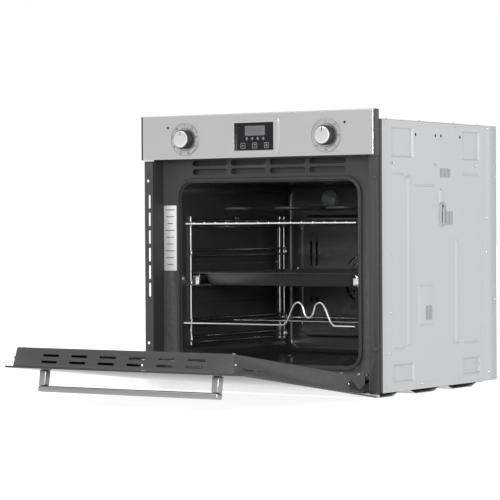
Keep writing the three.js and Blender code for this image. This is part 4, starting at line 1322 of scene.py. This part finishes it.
# Depth and height of the screws in a side sheet.
SIDE_SCREWS = (
    (106.8, 488.5),
    (289.8, 488.8),
    (470.5, 488.9),
    (98.9, 297),
    (101, 175.5),
    (93, 90),
    (76, 19.5),
    (224.9, 19.5),
    (383.9, 19.5),
    (74.7, 573),
    (221, 573),
    (379.5, 573),
    (477, 52),
    (477, 36),
)


def side_panels():
    """Both side sheets: a rail along the top, four deep corners, ribs, vents and screws."""
    low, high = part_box("side_panel_right")
    start, end = (low.y - FRONT) / MM, (high.y - FRONT) / MM
    size = (start, low.z / MM, end, high.z / MM)
    deep, rib = -4, 4.4
    presses = [
        (98, 22, 494, 573, 2.2, -1.3),
        (103, 501, 195, 564, 3, deep),
        (411, 501, 489, 564, 3, deep),
        (107, 28, 195, 66, 3, deep),
        (411, 28, 489, 65, 3, deep),
        (163, 103, 177, 462, 5, rib),
        (302, 404, 312, 436, 4, rib),
        (311, 356, 325, 408, 5, rib),
        (372, 100, 386, 327, 5, rib),
        (210, 143, 274, 231, 5, 4),
        (107, 463, 160, 469, 2, -1.8),
        (199, 440, 289, 446, 2, -1.8),
        (413, 466, 489, 472, 2, -1.8),
        (416, 96, 486, 102, 2, -1.8),
        (112, 96, 160, 102, 2, -1.8),
    ]
    holes = [*vents(239, 155, 186, 5), *vents(310, 461, 481, 8), *vents(338, 358, 388, 5)]
    panel = pressed_sheet("panel", size, presses, holes, (BODY_HALF, FRONT, 0), "right")
    half = BODY_HALF / MM
    tools = []
    for y in (204.7, 290.3, 315, 399.8):
        tools.append(turned("tool", [(3.6, -6), (3.6, 6)], at(half, y, 551), "X", 24))
    cut(panel, join("tools", tools))
    places = [at(half, y, z) for y, z in SIDE_SCREWS]
    heads = screws("side_screws_right", places, "right", 2.7)
    side = done(panel, "side_sheet_right")
    other = mirrored(side, "side_sheet_left")
    other_heads = mirrored(heads, "side_screws_left")
    for name, sheet, its_screws in (("right", side, heads), ("left", other, other_heads)):
        fit_out(level(sheet), GALVANISED, "galvanised", "side_panel_" + name)
        fit_out(its_screws, CHROME, "chrome", body="oven_body")


def top_cover():
    """The lid, with a shallow pressed field, stiffening ribs and two rows of slots."""
    low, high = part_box("top_cover")
    start, end = (low.y - FRONT) / MM, (high.y - FRONT) / MM
    half = high.x / MM
    presses = [
        (-half + 14, start + 60, half - 14, end - 14, 3, -0.6),
        (-200, 150, -192, 420, 2.6, 1.6),
        (192, 150, 200, 420, 2.6, 1.6),
        (-150, 180, 150, 188, 2.6, 1.6),
        (-150, 390, 150, 398, 2.6, 1.6),
        (-70, 240, 70, 340, 4, 2),
    ]
    holes = [*vents(-226, 30, 52, 12, 9, 4), *vents(122, 30, 52, 12, 9, 4)]
    sheet = pressed_sheet("lid", (-half, start, half, end), presses, holes, (0, FRONT, high.z), "top")
    fit_out(done(sheet, "top_sheet"), GALVANISED, "galvanised", "top_cover")
    places = [at(x, y, high.z / MM) for x in (-half + 7, half - 7) for y in (90, 230, 380, end - 8)]
    places += [at(x, end - 8, high.z / MM) for x in (-140, 0, 140)]
    fit_out(screws("top_screws", places, "top"), CHROME, "chrome", body="oven_body")


# Depth and height of the screws in the side of the rear cover's rim.
REAR_SIDE_SCREWS = (
    (518.8, 373.4),
    (518.1, 297.3),
    (519.5, 174.2),
    (556.2, 467),
    (555.3, 191),
    (527.7, 28),
    (527.6, 573),
)


def rear_cover():
    """The back: a folded rim, a pressed sheet with louvres set into it, and its screws."""
    low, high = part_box("rear_cover")
    rim = block("rim", low, high)
    edit(rim, "FACE")
    choose(rim, "FACE", lambda middle, normal: abs(normal.y) > ALONG)
    bpy.ops.mesh.delete(type="FACE")
    done(rim, "rim")
    soften(rim, 1.6, 3)
    thicken(rim, 1.2, even=True)
    lip = block("lip", Vector((low.x, high.y - 2.2 * MM, low.z)), high)
    inner = Vector((low.x, high.y, low.z)) + mm(12, -10, 12)
    hole = block("tool", inner, high - mm(12, -10, 12))
    cut(lip, hole)
    soften(lip, 0.9)
    fit_out(join("rear_rim", [rim, lip]), GALVANISED, "galvanised", "rear_cover")
    inlet_low, inlet_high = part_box("terminal_box")
    left, right = -inlet_high.x / MM + 6, -inlet_low.x / MM - 6
    bottom, top = inlet_low.z / MM + 6, inlet_high.z / MM - 6
    louvres = []
    for row in range(7):
        height = 470 + 12 * row
        for start in (95, -55):
            louvres.append((start, height, start + 110, height + 4))
    size = (-high.x / MM + 5, low.z / MM + 5, high.x / MM - 5, high.z / MM - 5)
    presses = [
        (-250, 30, 250, 440, 4, -3),
        (-215, 60, 215, 410, 4, 2),
        (-180, 120, -172, 350, 2.6, -1.6),
        (172, 120, 180, 350, 2.6, -1.6),
        (-90, 150, 90, 330, 5, -2),
    ]
    face = high.y - 3 * MM
    holes = [*louvres, (left, bottom, right, top)]
    sheet = pressed_sheet("back", size, presses, holes, (0, face, 0), "back")
    fit_out(done(sheet, "rear_sheet"), GALVANISED, "galvanised", body="oven_body")
    places = [Vector((x * MM, face, z * MM)) for x in (-262, 262) for z in (30, 160, 300, 440, 560)]
    places += [Vector((x * MM, face, z * MM)) for x in (-130, 0, 130) for z in (22, 568)]
    fit_out(screws("rear_screws", places, "back", 3.0), CHROME, "chrome", body="oven_body")
    for name, side in SIDES:
        places = [at(side * high.x / MM, y, z) for y, z in REAR_SIDE_SCREWS]
        heads = screws("rear_side_screws_" + name, places, name, 2.7)
        fit_out(heads, CHROME, "chrome", body="oven_body")
    terminal_box(inlet_low, inlet_high)


def terminal_box(low, high):
    """The box for the mains terminals, with its cable gland and two screws."""
    fit_out(refined("terminal_box", 0.8), BLACK_PLASTIC, "black_plastic", "terminal_box")
    entry = Vector(((low.x + high.x) / 2, high.y - 1.9 * MM, (low.z + high.z) / 2 - 10 * MM))
    gland = washer("cable_gland", 6, 9.5, 1.8, entry, "Y", 0.5)
    fit_out(gland, BLACK_PLASTIC, "black_plastic", body="oven_body")
    places = [Vector((entry.x + x * MM, high.y - 2 * MM, entry.z + 26 * MM)) for x in (-28, 28)]
    fit_out(screws("terminal_screws", places, "back", 2.6), CHROME, "chrome", body="oven_body")


def base_pan():
    """The bottom sheet with its three pressed feet."""
    fit_out(refined("base_pan", 0.35), GALVANISED, "galvanised", "base_pan")


def hidden_works():
    """Sealed inner pieces keep their CAD shape."""
    for node in ("timer_module", "function_switch", "lamp_holder", "blower_rotor"):
        keep_node(node, BLACK_PLASTIC)
    for node in ("thermostat", "convection_fan", "fan_motor", "blower_housing", "blower_motor"):
        keep_node(node, GALVANISED)
    keep_node("insulation", WOOL)


# ---- door ---------------------------------------------------------------------------------------
# Each piece is made in the closed door's place and then turned open. Depths and heights are the
# closed door's.

SHELL_HALF = 270
SHELL_DEPTH = (4.3, 42)  # open front and closed back
SHELL_HEIGHT = (76, 499.5)
WINDOW_MIDDLE = 305


def door_shell():
    """The dark tray behind the outer glass, open at its front and foot, with slots for air."""
    (front, back), (bottom, top) = SHELL_DEPTH, SHELL_HEIGHT
    shell = block("shell", at(-SHELL_HALF, front, bottom), at(SHELL_HALF, back, top))
    edit(shell, "FACE")
    choose(shell, "FACE", lambda middle, normal: normal.y < -ALONG or normal.z < -ALONG)
    bpy.ops.mesh.delete(type="FACE")
    choose(shell, "FACE", lambda middle, normal: normal.y > ALONG)
    bpy.ops.transform.resize(value=(0.975, 1, 1), center_override=(0, 0, 0))
    bpy.ops.mesh.inset(thickness=22 * MM, depth=0)
    bpy.ops.mesh.inset(thickness=3 * MM, depth=-1.5 * MM)
    done(shell, "shell")
    soften(shell, 1.8, 3)
    thicken(shell, 1.1, even=True)
    tools = [slab("tool", (360, 270, 20), at(0, 30, WINDOW_MIDDLE), 8)]
    reach, half = 20, 2.4  # half a slot's length and half its width
    for depth, shift in ((14, 0), (27, 4)):
        for number in range(6):
            x = 71 * (number - 2.5) + shift
            corners = at(x - reach, depth - half, 494), at(x + reach, depth + half, 504)
            tools.append(block("tool", *corners, 0.9))
    for _, side in SIDES:
        inner, outer = sorted((side * 260, side * 276))
        for z in (396, 452):
            tools.append(block("tool", at(inner, 13.6, z - reach), at(outer, 18, z + reach), 0.9))
    cut(shell, join("tools", tools))
    fit_out(opened(level(done(shell, "door_inner_shell"))), DARK_PAINT, "dark_paint", "door_shell")
    for name, side in SIDES:
        places = [at(side * (SHELL_HALF - 0.4), 21, z) for z in (495.5, 83)]
        heads = opened(screws("door_side_screws_" + name, places, name, 2.4))
        fit_out(heads, CHROME, "chrome", body="door")
    places = [at(x, back, z) for x in (-256, 256) for z in (92, 484)]
    fit_out(opened(screws("door_face_screws", places, "back", 3)), CHROME, "chrome", body="door")


def door_glass():
    """The outer glass over the whole door, and the window pane inside the shell."""
    pane = slab("door_pane", (583, 497, 4), at(0, 0, 251.5), 2.5, 0.7)
    fit_out(opened(pane), MIRROR_GLASS, "clear_glass", "door_outer_glass")
    inner = slab("door_window", (390, 300, 4), at(0, 36.5, WINDOW_MIDDLE), 4, 0.6)
    fit_out(opened(inner), CLEAR_GLASS, "clear_glass", "door_inner_glass")


def handle():
    """The flat steel bar and its two posts."""
    half, bottom, top = 220, 458, 476
    bar = block("bar", at(-half, -44, bottom), at(half, -32, top), 3.2, 4)
    fit_out(opened(done(bar, "handle_grip")), HANDLE_STEEL, "stainless", "handle_bar")
    for name, side in SIDES:
        inner, outer = sorted((side * 203, side * (half - 0.2)))
        post = block("post", at(inner, -31.7, bottom + 1), at(outer, -0.3, top - 1), 2.4, 3)
        post = opened(done(post, "handle_leg_" + name))
        fit_out(post, HANDLE_STEEL, "stainless", "handle_post_" + name)


def hinges():
    """The channels in the door, the arms that run into the body, and the pins they turn on."""
    for name, _ in SIDES:
        for node in ("hinge_channel_", "hinge_arm_"):
            # the galvanised hinge parts take the darker finish: painted shade
            fit_out(refined(node + name, 0.35), HINGE_SHADE_STEEL, "galvanised", node + name)
        low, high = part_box("hinge_pin_" + name)
        place = Vector((low.x, PIVOT.y, PIVOT.z))
        length = (high.x - low.x) / MM
        pin = [(1.2, 0), (1.7, 0.5), (1.7, length - 0.5), (1.2, length)]
        fit_out(turned("hinge_rivet_" + name, pin, place, "X", 24), CHROME, "chrome", "hinge_pin_" + name)


# ---- room, light and camera -----------------------------------------------------------------


def room():
    """A plain pale floor and a white surround."""
    deselect()
    bpy.ops.mesh.primitive_plane_add(size=60)
    floor = bpy.context.object
    floor.name = "floor"
    white = (1, 1, 1, 1)
    paper = Finish("pale floor", (0.3, 0.3, 0.3), 0.75, Emission_Color=white, Emission_Strength=0.9)
    grain = paper.group(TEXTURE, Size=60.0, Depth=0.02)
    paper.normal(grain.outputs["Normal"])
    floor.data.materials.append(paper.material)
    world = bpy.data.worlds.new("studio")
    bpy.context.scene.world = world
    world.use_nodes = True
    around = world.node_tree.nodes["Background"]
    around.inputs["Color"].default_value = white
    around.inputs["Strength"].default_value = 1.0
    bpy.context.scene.view_settings.view_transform = "Standard"


def lamp(name, place, target, size, power):
    """A soft rectangular light that faces its target."""
    light = bpy.data.lights.new(name, "AREA")
    light.shape = "RECTANGLE"
    light.size, light.size_y = size
    light.energy = power
    piece = bpy.data.objects.new(name, light)
    bpy.context.scene.collection.objects.link(piece)
    piece.location = place
    piece.rotation_euler = (Vector(target) - Vector(place)).to_track_quat("-Z", "Y").to_euler()


def lights():
    lamp("key", (-1.6, -3.2, 3.2), (0, -0.2, 0.3), (2.4, 2.0), 24)
    lamp("fill", (2.6, 2.6, 1.8), (0.28, 0, 0.3), (0.8, 2.0), 12)
    lamp("front", (1.7, -3.8, 1.1), (0.1, 0, 0.3), (0.9, 0.9), 95)


CAMERA_PLACE = (2.7509, -4.3494, 0.3588)
CAMERA_TURN = (33.892, 0.596, -0.291)  # degrees to the left, down, and rolled to the right
LENS, SENSOR = 168, 36  # millimetres


def camera():
    yaw, pitch, roll = (math.radians(angle) for angle in CAMERA_TURN)
    ahead = Vector((-math.sin(yaw) * math.cos(pitch), math.cos(yaw) * math.cos(pitch), -math.sin(pitch)))
    right = Vector((math.cos(yaw), math.sin(yaw), 0))
    up = right.cross(ahead)
    right, up = (
        right * math.cos(roll) + up * math.sin(roll),
        up * math.cos(roll) - right * math.sin(roll),
    )
    data = bpy.data.cameras.new("camera")
    data.lens = LENS
    data.sensor_width = SENSOR
    piece = bpy.data.objects.new("camera", data)
    bpy.context.scene.collection.objects.link(piece)
    turn = Matrix((right, up, -ahead)).transposed().to_4x4()
    piece.matrix_world = Matrix.Translation(CAMERA_PLACE) @ turn
    bpy.context.scene.camera = piece


# ---- assembly ---------------------------------------------------------------------------------

camera()
room()
lights()
control_panel()
timer()
knobs()
front_of_body()
cavity()
fan_cover()
heaters_and_lamp()
side_racks()
wire_shelf()
spit_cradle()
tray_and_runners()
side_panels()
top_cover()
rear_cover()
base_pan()
hidden_works()
door_shell()
door_glass()
handle()
hinges()
